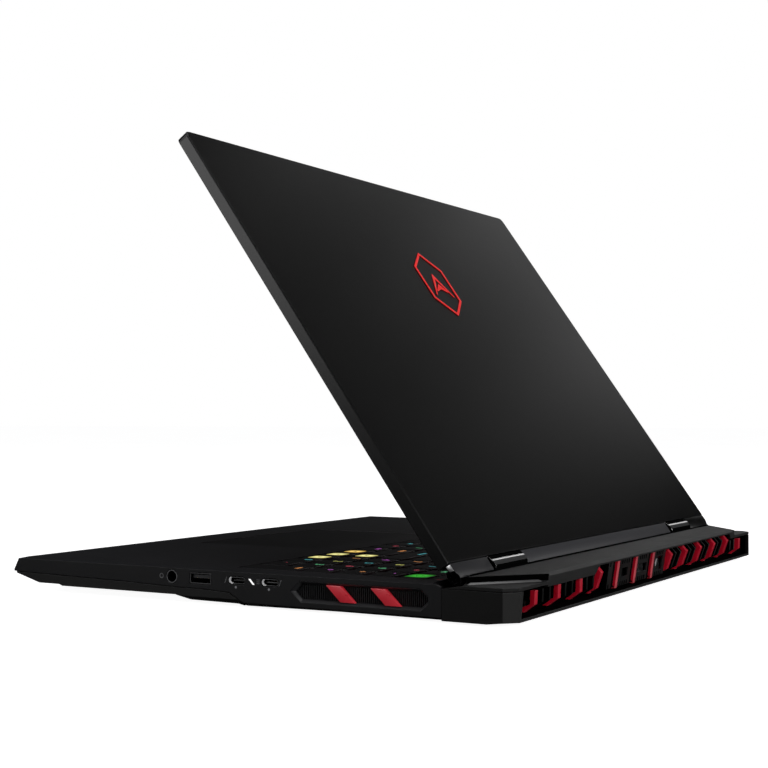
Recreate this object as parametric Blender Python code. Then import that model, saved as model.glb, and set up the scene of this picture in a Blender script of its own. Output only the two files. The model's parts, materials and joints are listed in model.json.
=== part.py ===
"""A 17-inch gaming laptop as separate pieces, at rest with its lid part open.

Frame: +X is the user's right, +Y runs from the user to the rear, +Z is up. The
origin is at the middle of the base's footprint, in the plane that its feet stand
on. Every number is in millimetres; new_mesh turns them into metres.
"""

import math

import bmesh
import bpy
from mathutils import Vector

MM = 0.001
GAP = 0.3  # clearance between pieces that touch

# Base
WIDTH = 380.0
DEPTH = 297.0
HALF_W = WIDTH / 2
FRONT, REAR = -DEPTH / 2, DEPTH / 2
DECK_Z = 18.6  # palm rest
RIM_Z = 17.9  # top of the side walls
LIP_Z = 11.0  # foremost edge
WALL = 1.8
DECK_THICK = 1.6
COVER_END = 112.0  # the top cover's side walls meet the rear block here
FRONT_BEVEL = 3.7
PALM_BOTTOM = 4.7  # underside in front of the step
CORNER_CUT = 5.7

# Rear block
TROUGH_FRONT, TROUGH_REAR, TROUGH_FLOOR = 106.9, 121.2, 14.1
SHELF_Z = 21.5
SHELF_X = (183.0, 150.5)  # half-width of the raised shelf at its front and rear
SHELF_FLARE = 4.5  # how much wider its foot is
CORNER_Z = 18.0  # the low corners beside the shelf
RAIL_X = 188.8  # inner side of the rails beside the trough
SHELL_Z = 16.1  # seam between the rear block's two shells
SHELL_BOTTOM, SHELL_FLOOR = 1.6, 3.1
RIB_PITCH = 27.4
RIB_WIDTH, BLADE_WIDTH = 3.2, 1.8

# Lid, as lengths up the lid (u) and outwards (w) from the hinge axis
HINGE_Y, HINGE_Z = 113.5, 20.8
OPEN_DEG = 54.7
LID_HALF_W = 189.4
LID_BOTTOM, LID_TOP = 4.4, 264.3
LID_BEVEL, LID_WALL = 0.6, 2.2
LID_OUT, LID_IN = 5.75, -1.25
CAP_NEAR, CAP_FAR = 111.5, 148.5  # hinge covers, along X
NOTCH_NEAR, NOTCH_FAR = 110.0, 150.0
NOTCHES = ((NOTCH_NEAR, NOTCH_FAR), (-NOTCH_FAR, -NOTCH_NEAR))
STRIP_END = LID_HALF_W - 0.9
SCREEN_HALF_W, SCREEN_LOW, SCREEN_HIGH = 183.1, 26.0, 255.0
SHAFT_R, CAP_BORE_R, CAP_R = 1.8, 2.1, 7.0

# Keyboard: a grid of 19 columns and 6 rows, of which the last 4 columns are the number pad
KEY_TOP, KEY_BOTTOM = 18.8, 17.2
COLUMNS, PAD_COLUMN = 19, 15
KEY_PITCH, ROW_PITCH = 18.64, 18.4
KEY_GAP = 2.6
KEY_DEPTH, FUNCTION_DEPTH = ROW_PITCH - KEY_GAP, 14.5
ROWS = ("bottom", "lower", "home", "upper", "number")
ROW_Y = {name: ROW_PITCH * row - 1.8 for row, name in enumerate(ROWS)}
ROW_Y["function"] = ROW_Y["number"] + (KEY_DEPTH + FUNCTION_DEPTH) / 2 + KEY_GAP
WELL_HALF_W, WELL_MARGIN = COLUMNS * KEY_PITCH / 2, 1.4
WELL_FRONT = ROW_Y["bottom"] - KEY_DEPTH / 2 - WELL_MARGIN
WELL_REAR = ROW_Y["function"] + FUNCTION_DEPTH / 2 + WELL_MARGIN
WELL = (-WELL_HALF_W, WELL_FRONT, WELL_HALF_W, WELL_REAR)
WEB = (KEY_BOTTOM + 0.2, KEY_BOTTOM + 0.8)  # the webs that join the caps of one row, by height
WEB_HALF = 3.0

# Touchpad
PAD = (-55.0, -113.0, 70.0, -31.0)

# Ports: centre along the wall, centre height
JACK = (-41.0, 13.6)
USB_A = (-23.2, 13.5)
USB_C_FRONT = (-0.7, 13.7)
USB_C_REAR = (18.9, 13.7)
POWER, HDMI, NETWORK = (41.1, 12.0), (13.7, 12.0), (-13.7, 12.0)
PANEL_X = (-24.0, 66.0)
PANEL_Y = (REAR - 8.3, REAR - 6.5)

# Side vent outline (y, z), and its two slanted bars at (front edge, height)
VENT = [(31.0, 10.2), (35.7, 15.3), (101.5, 15.3), (105.4, 11.8), (105.4, 9.0), (101.5, 5.6), (36.2, 5.6)]
SLASHES = (50.1, 74.5)
SLASH_WIDTH, SLASH_SLANT, SLASH_LOW, SLASH_HIGH = 8.4, 8.2, 6.5, 14.3

FAN_X, FAN_Y, FAN_R = 128.0, 62.0, 29.0

FINISHES = {  # colour, roughness, metallic
    "deck_metal": ((0.030, 0.031, 0.036), 0.42, 0.7),
    "lid_metal": ((0.020, 0.020, 0.021), 0.38, 0.8),
    "shell_plastic": ((0.028, 0.028, 0.027), 0.55, 0.0),
    "grey_plastic": ((0.055, 0.055, 0.060), 0.45, 0.0),
    "black_plastic": ((0.008, 0.008, 0.008), 0.5, 0.0),
    "red_plastic": ((0.45, 0.004, 0.016), 0.35, 0.0),
    "key_plastic": ((0.020, 0.020, 0.024), 0.45, 0.0),
    "rubber": ((0.010, 0.010, 0.010), 0.85, 0.0),
    "steel": ((0.55, 0.55, 0.56), 0.3, 1.0),
    "copper": ((0.72, 0.30, 0.16), 0.3, 1.0),
    "circuit_board": ((0.006, 0.03, 0.016), 0.5, 0.0),
    "cell_wrap": ((0.02, 0.02, 0.022), 0.6, 0.0),
    "screen_glass": ((0.004, 0.004, 0.005), 0.12, 0.0),
}


# ---------------------------------------------------------------- shapes

def prism(axis, outline, low, high, far_outline=None):
    """The outline, drawn in the other two axes, swept along axis from low to high, or blended to another."""
    shape = bmesh.new()
    slot = "XYZ".index(axis)

    def ring(points_of, level):
        points = []
        for point in points_of:
            corner = list(point)
            corner.insert(slot, level)
            points.append(shape.verts.new(corner))
        return points

    first, last = ring(outline, low), ring(far_outline or outline, high)
    shape.faces.new(first)
    shape.faces.new(last)
    for i in range(len(outline)):
        j = (i + 1) % len(outline)
        shape.faces.new((first[i], first[j], last[j], last[i]))
    bmesh.ops.recalc_face_normals(shape, faces=shape.faces)
    return shape


def box(low, high):
    corners = [(low[0], low[1]), (high[0], low[1]), (high[0], high[1]), (low[0], high[1])]
    return prism("Z", corners, low[2], high[2])


def arc(centre, radius, start, end, steps):
    """Points on an arc, angles in degrees."""
    angles = [math.radians(start + (end - start) * i / steps) for i in range(steps + 1)]
    return [(centre[0] + radius * math.cos(a), centre[1] + radius * math.sin(a)) for a in angles]


def circle(centre, radius, sides=24):
    return arc(centre, radius, 0, 360, sides)[:-1]


def rectangle(centre, size):
    (a, b), (w, h) = centre, (size[0] / 2, size[1] / 2)
    return [(a - w, b - h), (a + w, b - h), (a + w, b + h), (a - w, b + h)]


def stadium(centre, length, height):
    half, r = (length - height) / 2, height / 2
    right = arc((centre[0] + half, centre[1]), r, -90, 90, 6)
    return right + arc((centre[0] - half, centre[1]), r, 90, 270, 6)


def mirrored(outline):
    """The outline with its first coordinate's sign turned."""
    return [(-a, b) for a, b in outline]


def grown(outline, by):
    """The outline moved outwards by a distance, for outlines without tight corners."""
    area = sum(a[0] * b[1] - b[0] * a[1] for a, b in zip(outline, outline[1:] + outline[:1]))
    side = math.copysign(1, area)
    moved = []
    for i, point in enumerate(outline):
        here = Vector(point)
        before = (here - Vector(outline[i - 1])).normalized()
        after = (Vector(outline[(i + 1) % len(outline)]) - here).normalized()
        normals = [Vector((edge.y, -edge.x)) * side for edge in (before, after)]
        corner = (normals[0] + normals[1]) / (1 + normals[0].dot(normals[1]))
        moved.append(tuple(here + corner * by))
    return moved


def joined(shapes):
    """One mesh that holds several closed shapes, which don't touch."""
    whole = bmesh.new()
    for shape in shapes:
        made = {vert: whole.verts.new(vert.co) for vert in shape.verts}
        for face in shape.faces:
            whole.faces.new([made[vert] for vert in face.verts])
    return whole


# ---------------------------------------------------------------- objects

def clear_scene():
    for obj in list(bpy.data.objects):
        bpy.data.objects.remove(obj)


def new_material(name, finish):
    colour, roughness, metallic = FINISHES[finish]
    material = bpy.data.materials.new(name)
    material.use_nodes = True
    shader = material.node_tree.nodes["Principled BSDF"]
    shader.inputs["Base Color"].default_value = (*colour, 1)
    shader.inputs["Roughness"].default_value = roughness
    shader.inputs["Metallic"].default_value = metallic
    return material


def new_object(name, shape, parent, pivot):
    mesh = bpy.data.meshes.new(name)
    shape.to_mesh(mesh)
    for vert in mesh.vertices:
        vert.co = (vert.co - Vector(pivot)) * MM
    obj = bpy.data.objects.new(name, mesh)
    obj.location = Vector(pivot) * MM
    obj.parent = parent
    bpy.context.scene.collection.objects.link(obj)
    return obj


def piece(name, finish, shape, add=(), cut=(), fill=(), parent=None, pivot=(0, 0, 0)):
    """A named piece: the shape, with others joined to it, then others cut from it, then others joined."""
    obj = new_object(name, shape, parent, pivot)
    obj.data.materials.append(new_material(name, finish))
    steps = [("UNION", other) for other in add] + [("DIFFERENCE", other) for other in cut]
    steps += [("UNION", other) for other in fill]
    for number, (operation, other) in enumerate(steps):
        helper = new_object(f"{name}_helper_{number}", other, parent, (0, 0, 0))
        helper.hide_render = True
        helper.display_type = "WIRE"
        modifier = obj.modifiers.new(operation.lower(), "BOOLEAN")
        modifier.operation = operation
        modifier.object = helper
    obj.data.shade_smooth()
    obj.data.set_sharp_from_angle(angle=math.radians(30))
    return obj


# ---------------------------------------------------------------- base shells

def base_seam(y):
    """Height of the seam between the top and bottom covers on the side wall."""
    seam = [(FRONT, LIP_Z), (-70, 9.6), (-36, 8.6), (-23, 8.6), (-5.6, 7.7), (3, 3.0), (COVER_END, 3.0)]
    for (y0, z0), (y1, z1) in zip(seam, seam[1:]):
        if y <= y1:
            return z0 + (z1 - z0) * (y - y0) / (y1 - y0)
    return seam[-1][1]


def side_port_cutters(side):
    """Holes in the top cover's side wall; the right wall has the ports."""
    low, high = sorted((side * (HALF_W - 2 * WALL), side * (HALF_W + 1)))
    outlines = [grown(VENT, GAP)]
    if side > 0:
        outlines += [
            circle(JACK, 3.6),
            rectangle(USB_A, (13.6, 6.0)),
            stadium(USB_C_FRONT, 10.5, 4.1),
            stadium(USB_C_REAR, 10.5, 4.1),
        ]
    return joined([prism("X", outline, low, high) for outline in outlines])


def top_cover():
    """Palm rest and side walls, open below, with the keyboard well and the touchpad's opening."""
    lean = FRONT + FRONT_BEVEL
    seam = [(y, base_seam(y)) for y in (FRONT, -70, -36, -23, -5.6, 3, COVER_END)]
    over = [(COVER_END, 16.9), (109.3, RIM_Z), (106.9, DECK_Z), (lean + 2.3, DECK_Z), (lean, RIM_Z)]
    inside = [
        (FRONT + 2.0, 0), (FRONT + 2.0, LIP_Z - 0.5), (lean + 1.6, 16.2),
        (lean + 2.8, DECK_Z - DECK_THICK), (105.5, DECK_Z - DECK_THICK), (105.5, 0),
    ]
    x = HALF_W - WALL
    bevel = [(HALF_W + 0.5, RIM_Z - 0.05), (HALF_W - 5.5, DECK_Z + 0.01), (HALF_W + 0.5, DECK_Z + 1)]
    corner = [(HALF_W - 1, FRONT - 0.5), (HALF_W + 1, FRONT + 1.8), (HALF_W + 1, FRONT - 0.5)]
    x0, y0, x1, y1 = WELL
    return piece(
        "top_cover", "deck_metal",
        prism("X", seam + over, -HALF_W, HALF_W),
        cut=[
            prism("X", inside, -x, x),
            joined([
                box((-x, TROUGH_FRONT, -1), (x, COVER_END + 1, 30)),
                box((x0, y0, 16), (x1, y1, 20)),
                box((PAD[0], PAD[1], 16), (PAD[2], PAD[3], 20)),
            ]),
            joined([prism("Y", edge, FRONT - 1, COVER_END + 1) for edge in (bevel, mirrored(bevel))]),
            joined([prism("Z", edge, -1, 30) for edge in (corner, mirrored(corner))]),
            box((-x + 1, 105, -1), (x - 1, 107.5, 13.4)),
            joined([side_port_cutters(1), side_port_cutters(-1)]),
        ],
    )


def bottom_cover():
    """Tray under the base, with the fans' intake slots."""
    below = [
        (3, 1.2), (-1, 2.2), (-30, 2.5), (-39, PALM_BOTTOM), (-114, PALM_BOTTOM),
        (-116, PALM_BOTTOM + 0.8), (-130, PALM_BOTTOM + 0.8), (FRONT + 0.4, LIP_Z - 0.5),
    ]
    seam = [(y, base_seam(y) - 0.35) for y in (FRONT + 0.6, -70, -36, -23, -6)]
    rear = [(2.2, 3.1), (2.2, 4.1), (COVER_END - GAP, 4.1), (COVER_END - GAP, SHELL_BOTTOM), (58, 1.8)]
    inside = [
        (FRONT + 8, 12), (FRONT + 8, 9.4), (-128, 7.2), (-114, 6.4), (-39, 6.3),
        (-30, 4.6), (-1, 4.3), (3, 3.4), (3, 12),
    ]
    low_x = HALF_W - 2.6
    draft = [(HALF_W + 0.6, 5.4), (low_x, 1.0), (low_x, -1), (HALF_W + 4, -1), (HALF_W + 4, 5.4)]
    x = HALF_W - WALL - 1 - GAP
    under_wall = [(x, 9), (x, 1.9), (x - 1.2, 1.0), (x - 1.2, -1), (HALF_W + 4, -1), (HALF_W + 4, 9)]
    corner = [(HALF_W - 3, FRONT - 1), (HALF_W + 1, FRONT + 4), (HALF_W + 1, FRONT - 1)]
    slots = []
    for side in (-1, 1):
        for row in range(9):
            y = FAN_Y - 24 + 6 * row
            reach = math.sqrt(30**2 - (y - FAN_Y) ** 2)
            slots.append(box((side * FAN_X - reach, y - 1.2, 0), (side * FAN_X + reach, y + 1.2, 6)))
    return piece(
        "bottom_cover", "shell_plastic",
        prism("X", seam + rear + below, -HALF_W + 0.2, HALF_W - 0.2),
        cut=[
            prism("X", inside, -182, 182),
            joined([prism("Y", edge, FRONT - 1, 2.1) for edge in (draft, mirrored(draft))]),
            joined([prism("Y", edge, 2.1, COVER_END + 1) for edge in (under_wall, mirrored(under_wall))]),
            joined([prism("Z", edge, -1, 30) for edge in (corner, mirrored(corner))]),
            joined(slots),
        ],
    )


def rear_plan(inset=0.0):
    """Plan outline of the rear block, moved inwards."""
    x, c = HALF_W, CORNER_CUT
    front = COVER_END + GAP
    outline = [(-x, front), (x, front), (x, REAR - c), (x - c, REAR), (c - x, REAR), (-x, REAR - c)]
    return grown(outline, -inset)


def rear_cover():
    """Trough behind the deck, raised shelf and low corners of the rear block."""
    seam = SHELL_Z + GAP
    slab = [(TROUGH_REAR, seam), (TROUGH_REAR, 17.65), (123.4, CORNER_Z), (REAR, CORNER_Z), (REAR, seam)]
    side_rail = [(COVER_END + 1.5, seam), (123.4, CORNER_Z), (126, CORNER_Z), (126, seam)]
    rail = HALF_W - RAIL_X
    front_x, rear_x = SHELF_X
    shelf = [(front_x, TROUGH_REAR), (rear_x, REAR), (-rear_x, REAR), (-front_x, TROUGH_REAR)]
    front_x, rear_x = front_x + SHELF_FLARE, rear_x + SHELF_FLARE
    shelf_foot = [(front_x, TROUGH_REAR), (rear_x, REAR), (-rear_x, REAR), (-front_x, TROUGH_REAR)]
    floor = [
        (TROUGH_FRONT + GAP, 12.8), (TROUGH_FRONT + GAP, TROUGH_FLOOR), (TROUGH_REAR, TROUGH_FLOOR),
        (TROUGH_REAR, 17.0), (122.8, 17.0), (122.8, 12.8),
    ]
    panel = [(93, 15.4), (152.5, 15.4), (151, 20.4), (88, 20.4), (88, 19.4)]
    hollow = [(180, 122.8), (148, REAR - WALL), (-148, REAR - WALL), (-180, 122.8)]
    slot = [(-142, 16), (-142, 17.5), (-140, 19.5), (87, 19.5), (92, 16)]
    x, cut = HALF_W, CORNER_CUT + 1
    cut_corner = [(x - cut, REAR + 1), (x + 1, REAR - cut), (x + 3, REAR + 3)]
    y = TROUGH_REAR
    front_edge = [(y - 0.2, SHELF_Z - 1.2), (y + 1.2, SHELF_Z + 0.2), (y - 1, SHELF_Z + 1)]
    rear_edge = [(REAR + 0.2, SHELF_Z - 1.3), (REAR - 2.6, SHELF_Z + 0.1), (REAR + 1, SHELF_Z + 1)]
    x = HALF_W - WALL
    return piece(
        "rear_cover", "shell_plastic",
        prism("X", slab, -HALF_W, HALF_W),
        add=[
            joined([prism("X", side_rail, low, low + rail) for low in (-HALF_W, HALF_W - rail)]),
            prism("Z", shelf_foot, 17.3, 18.6, shelf),
            prism("Z", shelf, 16.9, SHELF_Z),
            prism("X", floor, -x + 1, x - 1),
            prism("Y", panel, REAR - 1.7, REAR),
        ],
        cut=[
            joined([prism("Z", edge, 0, 30) for edge in (cut_corner, mirrored(cut_corner))]),
            joined([prism("X", edge, -HALF_W - 1, HALF_W + 1) for edge in (front_edge, rear_edge)]),
            prism("Z", hollow, 12, 19.5),
            prism("Y", slot, REAR - 4, REAR + 2),
        ],
    )


def rear_shell():
    """Lower half of the rear block: bottom, side walls and the wide exhaust opening."""
    undercut = [(134, SHELL_BOTTOM - 0.1), (142.6, 2.5), (REAR + 1, 2.5), (REAR + 1, 0), (134, 0)]
    opening = [(182.5, 4.0), (179.0, 20), (-182.5, 20), (-182.5, 4.0)]
    inside = [(x, y if y > TROUGH_REAR else COVER_END) for x, y in rear_plan(WALL)]
    return piece(
        "rear_shell", "shell_plastic",
        prism("Z", rear_plan(), SHELL_BOTTOM, SHELL_Z),
        cut=[
            prism("Z", inside, SHELL_FLOOR, 20),
            prism("X", undercut, -HALF_W - 1, HALF_W + 1),
            prism("Y", opening, REAR - 3, REAR + 1),
        ],
    )


# ---------------------------------------------------------------- exhaust

RIB_FACE = REAR - GAP
BAR_Z = (3.5, 4.7)  # the bars that hold the ribs lie along the shell's floor
BLADE_SPREAD = 4.2  # how far each blade of a pair stands from the middle between two ribs
PORT_RIBS = (0, 1, 2)  # the ribs that stand in slits of the port plate, counted from the middle
SLIT_HALF = 2.1


def opening_top(x):
    """Top of the ribs under the exhaust opening's upper edge."""
    return 19.1 if -141 < x < 86 else 15.0


def rib(x, back, width, depth, at_ports=False):
    """An upright bent strip with its side outline (y, z) kinked, whose foot leans in to the bars."""
    top, foot = opening_top(x), BAR_Z[0]
    if at_ports:
        front = [(RIB_FACE - 4.6, top), (RIB_FACE - 3.0, 7.4), (RIB_FACE - 4.6, 5.3)]
    elif top < 17:
        front = [(RIB_FACE - 0.3, top), (RIB_FACE - 0.6, 8.6), (RIB_FACE - 5.4, 5.2)]
    else:
        front = [(RIB_FACE - 3.1, top), (RIB_FACE, top - 3.4), (RIB_FACE - 3.0, 7.4), (RIB_FACE - 6.8, 5.3)]
    behind = [(y - depth, z) for y, z in reversed(front[:-1])]
    outline = [(back, foot), (back, BAR_Z[1] + 0.4)] + behind + front + [(RIB_FACE - 7.2, foot)]
    return prism("X", outline, x - width / 2, x + width / 2)


def red_ribs():
    """Thirteen red ribs in an even row, on one bar that runs behind them."""
    thin = {step: 2.4 for step in (*PORT_RIBS, 4, 5, 6)}
    depths = {-1: 6.5, **thin}
    ribs = [
        rib(RIB_PITCH * step, REAR - 11.4, RIB_WIDTH, depths.get(step, 3.0), step in PORT_RIBS)
        for step in range(-6, 7)
    ]
    bar = box((-165, REAR - 14, BAR_Z[0]), (165, REAR - 10.6, BAR_Z[1]))
    return piece("red_ribs", "red_plastic", bar, add=[joined(ribs)])


def grille_arm(x, reach):
    """Bracket that rises from the grille's rail, behind the red ribs' bar, and reaches out over it."""
    back, front = REAR - 16.3, REAR - 14.5
    low = BAR_Z[0] + 0.1
    outline = [(back, low), (front, low), (front, 8.8), (reach, 8.8), (reach, 14.2), (back, 14.2)]
    return prism("X", outline, x - 1.1, x + 1.1)


def rear_grille():
    """Dark blades in pairs between the red ribs, with their rails and the plate round the rear ports."""
    back = REAR - 16.5
    middles = [RIB_PITCH * (step + 0.5) for step in range(-6, 6)]
    places = [x for x in middles if not PANEL_X[0] < x < PANEL_X[1] + 4]
    x0, x1 = PANEL_X
    arms = [grille_arm(x + turn, REAR - 8) for x in places for turn in (-BLADE_SPREAD, BLADE_SPREAD)]
    arms += [grille_arm(x, PANEL_Y[0] + 1) for x in (x0 + 1.5, 3.7, 31.4, x1 - 1.5)]
    blades = []
    for x in places:
        for turn in (-BLADE_SPREAD, BLADE_SPREAD):
            shape = rib(x + turn, REAR - 9.6, BLADE_WIDTH, 7.6)
            for vert in shape.verts:
                vert.co.z = max(vert.co.z, BAR_Z[1] + GAP)
                vert.co.y -= 0.8
            blades.append(shape)
    slits = []
    for step in PORT_RIBS:
        x = RIB_PITCH * step
        slits.append(box((x - SLIT_HALF, REAR - 12, 3), (x + SLIT_HALF, REAR, 19.3)))
    holes = [
        prism("Y", rectangle(place, size), REAR - 12, REAR)
        for place, size in ((POWER, (9.6, 9.6)), (HDMI, (16.2, 6.8)), (NETWORK, (15.0, 11.6)))
    ]
    return piece(
        "rear_grille", "black_plastic", box((-178, back, BAR_Z[0]), (178, REAR - 14.4, BAR_Z[1])),
        add=[
            joined(arms),
            joined(blades + [box((x0, PANEL_Y[0], BAR_Z[1] + GAP), (x1, PANEL_Y[1], 19.1))]),
        ],
        cut=[joined(slits + holes)],
    )


def side_vent(side):
    """Hexagonal grille in the side wall, with upright slots."""
    inner, outer = side * (HALF_W - 4.4), side * (HALF_W - 2.9)
    slots = [
        box((min(inner, outer) - 1, 38.5 + 5 * row, 6.8), (max(inner, outer) + 1, 41 + 5 * row, 14.1))
        for row in range(13)
    ]
    return piece(
        f"side_vent_{side_name(side)}", "black_plastic",
        prism("X", VENT, *sorted((inner, side * (HALF_W - 1.2)))),
        cut=[
            prism("X", grown(VENT, -0.9), *sorted((outer, side * HALF_W))),
            joined(slots),
        ],
    )


def side_slashes(side):
    """Two slanted red bars on one thin strip, in front of the side grille."""
    bars, w = [], SLASH_WIDTH
    for y in SLASHES:
        foot = y + SLASH_SLANT
        outline = [(y, SLASH_HIGH), (y + w, SLASH_HIGH), (foot + w, SLASH_LOW), (foot, SLASH_LOW)]
        bars.append(prism("X", outline, *sorted((side * (HALF_W - 2.5), side * (HALF_W - 0.4)))))
    strip = box((-0.4, SLASHES[0] + 4, 9.9), (0.4, SLASHES[1] + 9, 11.0))
    bmesh.ops.translate(strip, verts=strip.verts, vec=(side * (HALF_W - 2.0), 0, 0))
    return piece(f"side_slashes_{side_name(side)}", "red_plastic", strip, add=[joined(bars)])


def side_name(side):
    return "right" if side > 0 else "left"


# ---------------------------------------------------------------- ports

def side_port(name, outer, inner, tongue, depth):
    """Socket in the right wall: a shell (y, z), its hollow, and a tongue standing on its back."""
    face = HALF_W - GAP
    fill = [prism("X", tongue, face - depth + 1, face - 1.5)] if tongue else []
    return piece(
        name, "steel", prism("X", outer, face - depth, face),
        cut=[prism("X", inner, face - depth + 2, face + 1)], fill=fill,
    )


def rear_port(name, finish, place, outer, inner, tongue, depth=9.5):
    """Socket in the rear plate: a shell, its hollow, and a tongue standing on its back."""
    face = PANEL_Y[1] + 0.3
    lifted = (place[0], place[1] + tongue[2]) if tongue else place
    fill = [prism("Y", rectangle(lifted, tongue[:2]), face - depth + 1, face - 1.5)] if tongue else []
    return piece(
        name, finish, prism("Y", rectangle(place, outer), face - depth, face),
        cut=[prism("Y", rectangle(place, inner), face - depth + 2, face + 1)], fill=fill,
    )


def ports():
    side_port("audio_jack", circle(JACK, 3.3), circle(JACK, 1.8, 16), None, 14)
    side_port(
        "usb_a_port", rectangle(USB_A, (13.0, 5.4)), rectangle(USB_A, (12.0, 4.5)),
        rectangle((USB_A[0], USB_A[1] + 0.8), (11.0, 1.7)), 14,
    )
    for name, place in (("usb_c_port_front", USB_C_FRONT), ("usb_c_port_rear", USB_C_REAR)):
        side_port(name, stadium(place, 9.8, 3.4), stadium(place, 8.9, 2.6), rectangle(place, (6.6, 0.7)), 9)
    rear_port("power_inlet", "black_plastic", POWER, (9.0, 9.0), (7.6, 7.2), (5.4, 1.8, 0))
    rear_port("hdmi_port", "steel", HDMI, (15.6, 6.2), (14.2, 4.7), (12.4, 1.2, 0.6))
    rear_port("network_port", "steel", NETWORK, (14.4, 11.0), (11.8, 8.2), None)


# ---------------------------------------------------------------- inside the base

def motherboard():
    plan = [(-90, -24), (168, -24), (168, 24), (90, 24), (90, 26), (90, 98), (-90, 98)]
    return piece("motherboard", "circuit_board", prism("Z", plan, 8.6, 9.8))


def battery_pack():
    """Four flat cells in one wrap."""
    half, pitch = 120.0, 60.0
    edges = [-half + pitch * cell for cell in (1, 2, 3)]
    grooves = [box((x - 0.8, -106, 13.4), (x + 0.8, -35, 16)) for x in edges]
    cells = box((-half, -108, 8.2), (half, -33, 14.2))
    return piece("battery_pack", "cell_wrap", cells, cut=[joined(grooves)])


def heat_fins(side):
    """Comb of upright fins under one plate, behind each fan."""
    near, far = sorted((side * 72.0, side * 160.0))
    count = 22
    step = (far - near) / count
    outline = [(near, 10.1), (near, 9.3)]
    for fin in range(count):
        x = near + step * fin + 0.4
        outline += [(x, 9.3), (x, 4.6), (x + 0.8, 4.6), (x + 0.8, 9.3)]
    outline += [(far, 9.3), (far, 10.1)]
    return piece(f"heat_fins_{side_name(side)}", "copper", prism("Y", outline, 124.2, 131.5))


def heat_pipes():
    """Spreader plate over the processors, with pipes that run out over both stacks of fins."""
    plate = box((-60, 36, 10.2), (60, 84, 11.6))
    shapes = []
    for offset in (0, 1):
        y, x = 125.0 + 3.6 * offset, 44.0 - 12 * offset
        for side in (-1, 1):
            route = [(side * x, 60), (side * x, y + 1.3), (side * 158, y + 1.3), (side * 158, y - 1.3),
                     (side * (x + 3), y - 1.3), (side * (x + 3), 60)]
            shapes.append(prism("Z", route, 10.5, 12.6))
    return piece("heat_pipes", "copper", plate, add=[joined(shapes[:2]), joined(shapes[2:])])


def fan_housing(side):
    """Blower case, open to the rear and with a round intake below."""
    x = side * FAN_X
    low, high = (x - 33, FAN_Y - 34, 4.6), (x + 33, FAN_Y + 42, 12.4)
    return piece(
        f"fan_housing_{side_name(side)}", "black_plastic", box(low, high),
        cut=[
            prism("Z", circle((x, FAN_Y), FAN_R + 1.6, 40), 5.6, 11.4),
            box((x - FAN_R, FAN_Y, 5.65), (x + FAN_R, high[1] + 1, 11.35)),
            prism("Z", circle((x, FAN_Y), 22, 32), 4, 6),
        ],
    )


def fan_rotor(side):
    """Hub with thin curved blades, drawn as one outline."""
    x = side * FAN_X
    blades, hub = 17, 12.5
    outline = []
    for blade in range(blades):
        turn = 2 * math.pi * blade / blades
        for radius, angle in ((hub, 0.06), (FAN_R, 0.30), (FAN_R, 0.335), (hub, 0.16)):
            a = turn + angle
            outline.append((x + side * radius * math.cos(a), FAN_Y + radius * math.sin(a)))
    name, pivot = f"fan_rotor_{side_name(side)}", (x, FAN_Y, 8.5)
    return piece(name, "black_plastic", prism("Z", outline, 6.2, 10.8), pivot=pivot)


def small_inner_parts():
    piece("ssd_card", "circuit_board", box((-84, -18, 10.1), (-4, 4, 12.3)))
    for side in (-1, 1):
        near, far = sorted((side * 132.0, side * 176.0))
        case, slot = box((near, -126, 8.4), (far, -62, 15.0)), box((near + 8, -118, 7.6), (far - 8, -70, 9.0))
        piece(f"speaker_{side_name(side)}", "black_plastic", case, cut=[slot])


# ---------------------------------------------------------------- keyboard and touchpad

def column_x(column):
    """Middle of a one-unit key in this column, counted from the left in key widths."""
    return (column + 0.5 - COLUMNS / 2) * KEY_PITCH


def key_cap(column, row, units=1.0, rows=1.0):
    """Keycap whose left side starts this many key widths from the grid's left edge."""
    left = (column - COLUMNS / 2) * KEY_PITCH + KEY_GAP / 2
    depth = FUNCTION_DEPTH if row == "function" else KEY_DEPTH
    front = ROW_Y[row] - depth / 2
    right, rear = left + units * KEY_PITCH - KEY_GAP, front + depth + (rows - 1) * ROW_PITCH
    base = [(left, front), (right, front), (right, rear), (left, rear)]
    return prism("Z", base, KEY_BOTTOM, KEY_TOP, grown(base, -0.35))


def key_web(first, last, row):
    """Thin bar from one column's middle to another's, below the caps' tops."""
    y = ROW_Y[row]
    return box((column_x(first), y - WEB_HALF, WEB[0]), (column_x(last), y + WEB_HALF, WEB[1]))


def key_row(name, row, first, units):
    """Keycaps of these widths, in key widths, side by side from a column on, on one web."""
    caps, column = [], first
    for unit in units:
        caps.append(key_cap(column, row, unit))
        column += unit
    return piece(name, "key_plastic", key_web(first, column - 1, row), add=[joined(caps)])


def single_key(name, row, column, units=1.0, rows=1.0):
    return piece(name, "key_plastic", key_cap(column, row, units, rows))


def number_pad():
    """The number pad's keys on one web, without its tall key and the one that the arrow takes."""
    first = PAD_COLUMN
    rows = {"bottom": (1, 2), "lower": (0, 1, 2), "home": range(4), "upper": range(4), "number": range(4)}
    caps = [key_cap(first + column, row) for row, columns in rows.items() for column in columns]
    webs = [key_web(first + min(columns), first + max(columns), row) for row, columns in rows.items()]
    x = column_x(first + 1)
    spine = box((x - WEB_HALF, ROW_Y["bottom"], WEB[0]), (x + WEB_HALF, ROW_Y["number"], WEB[1]))
    return piece("number_pad_keys", "key_plastic", spine, add=[joined(webs), joined(caps)])


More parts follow.
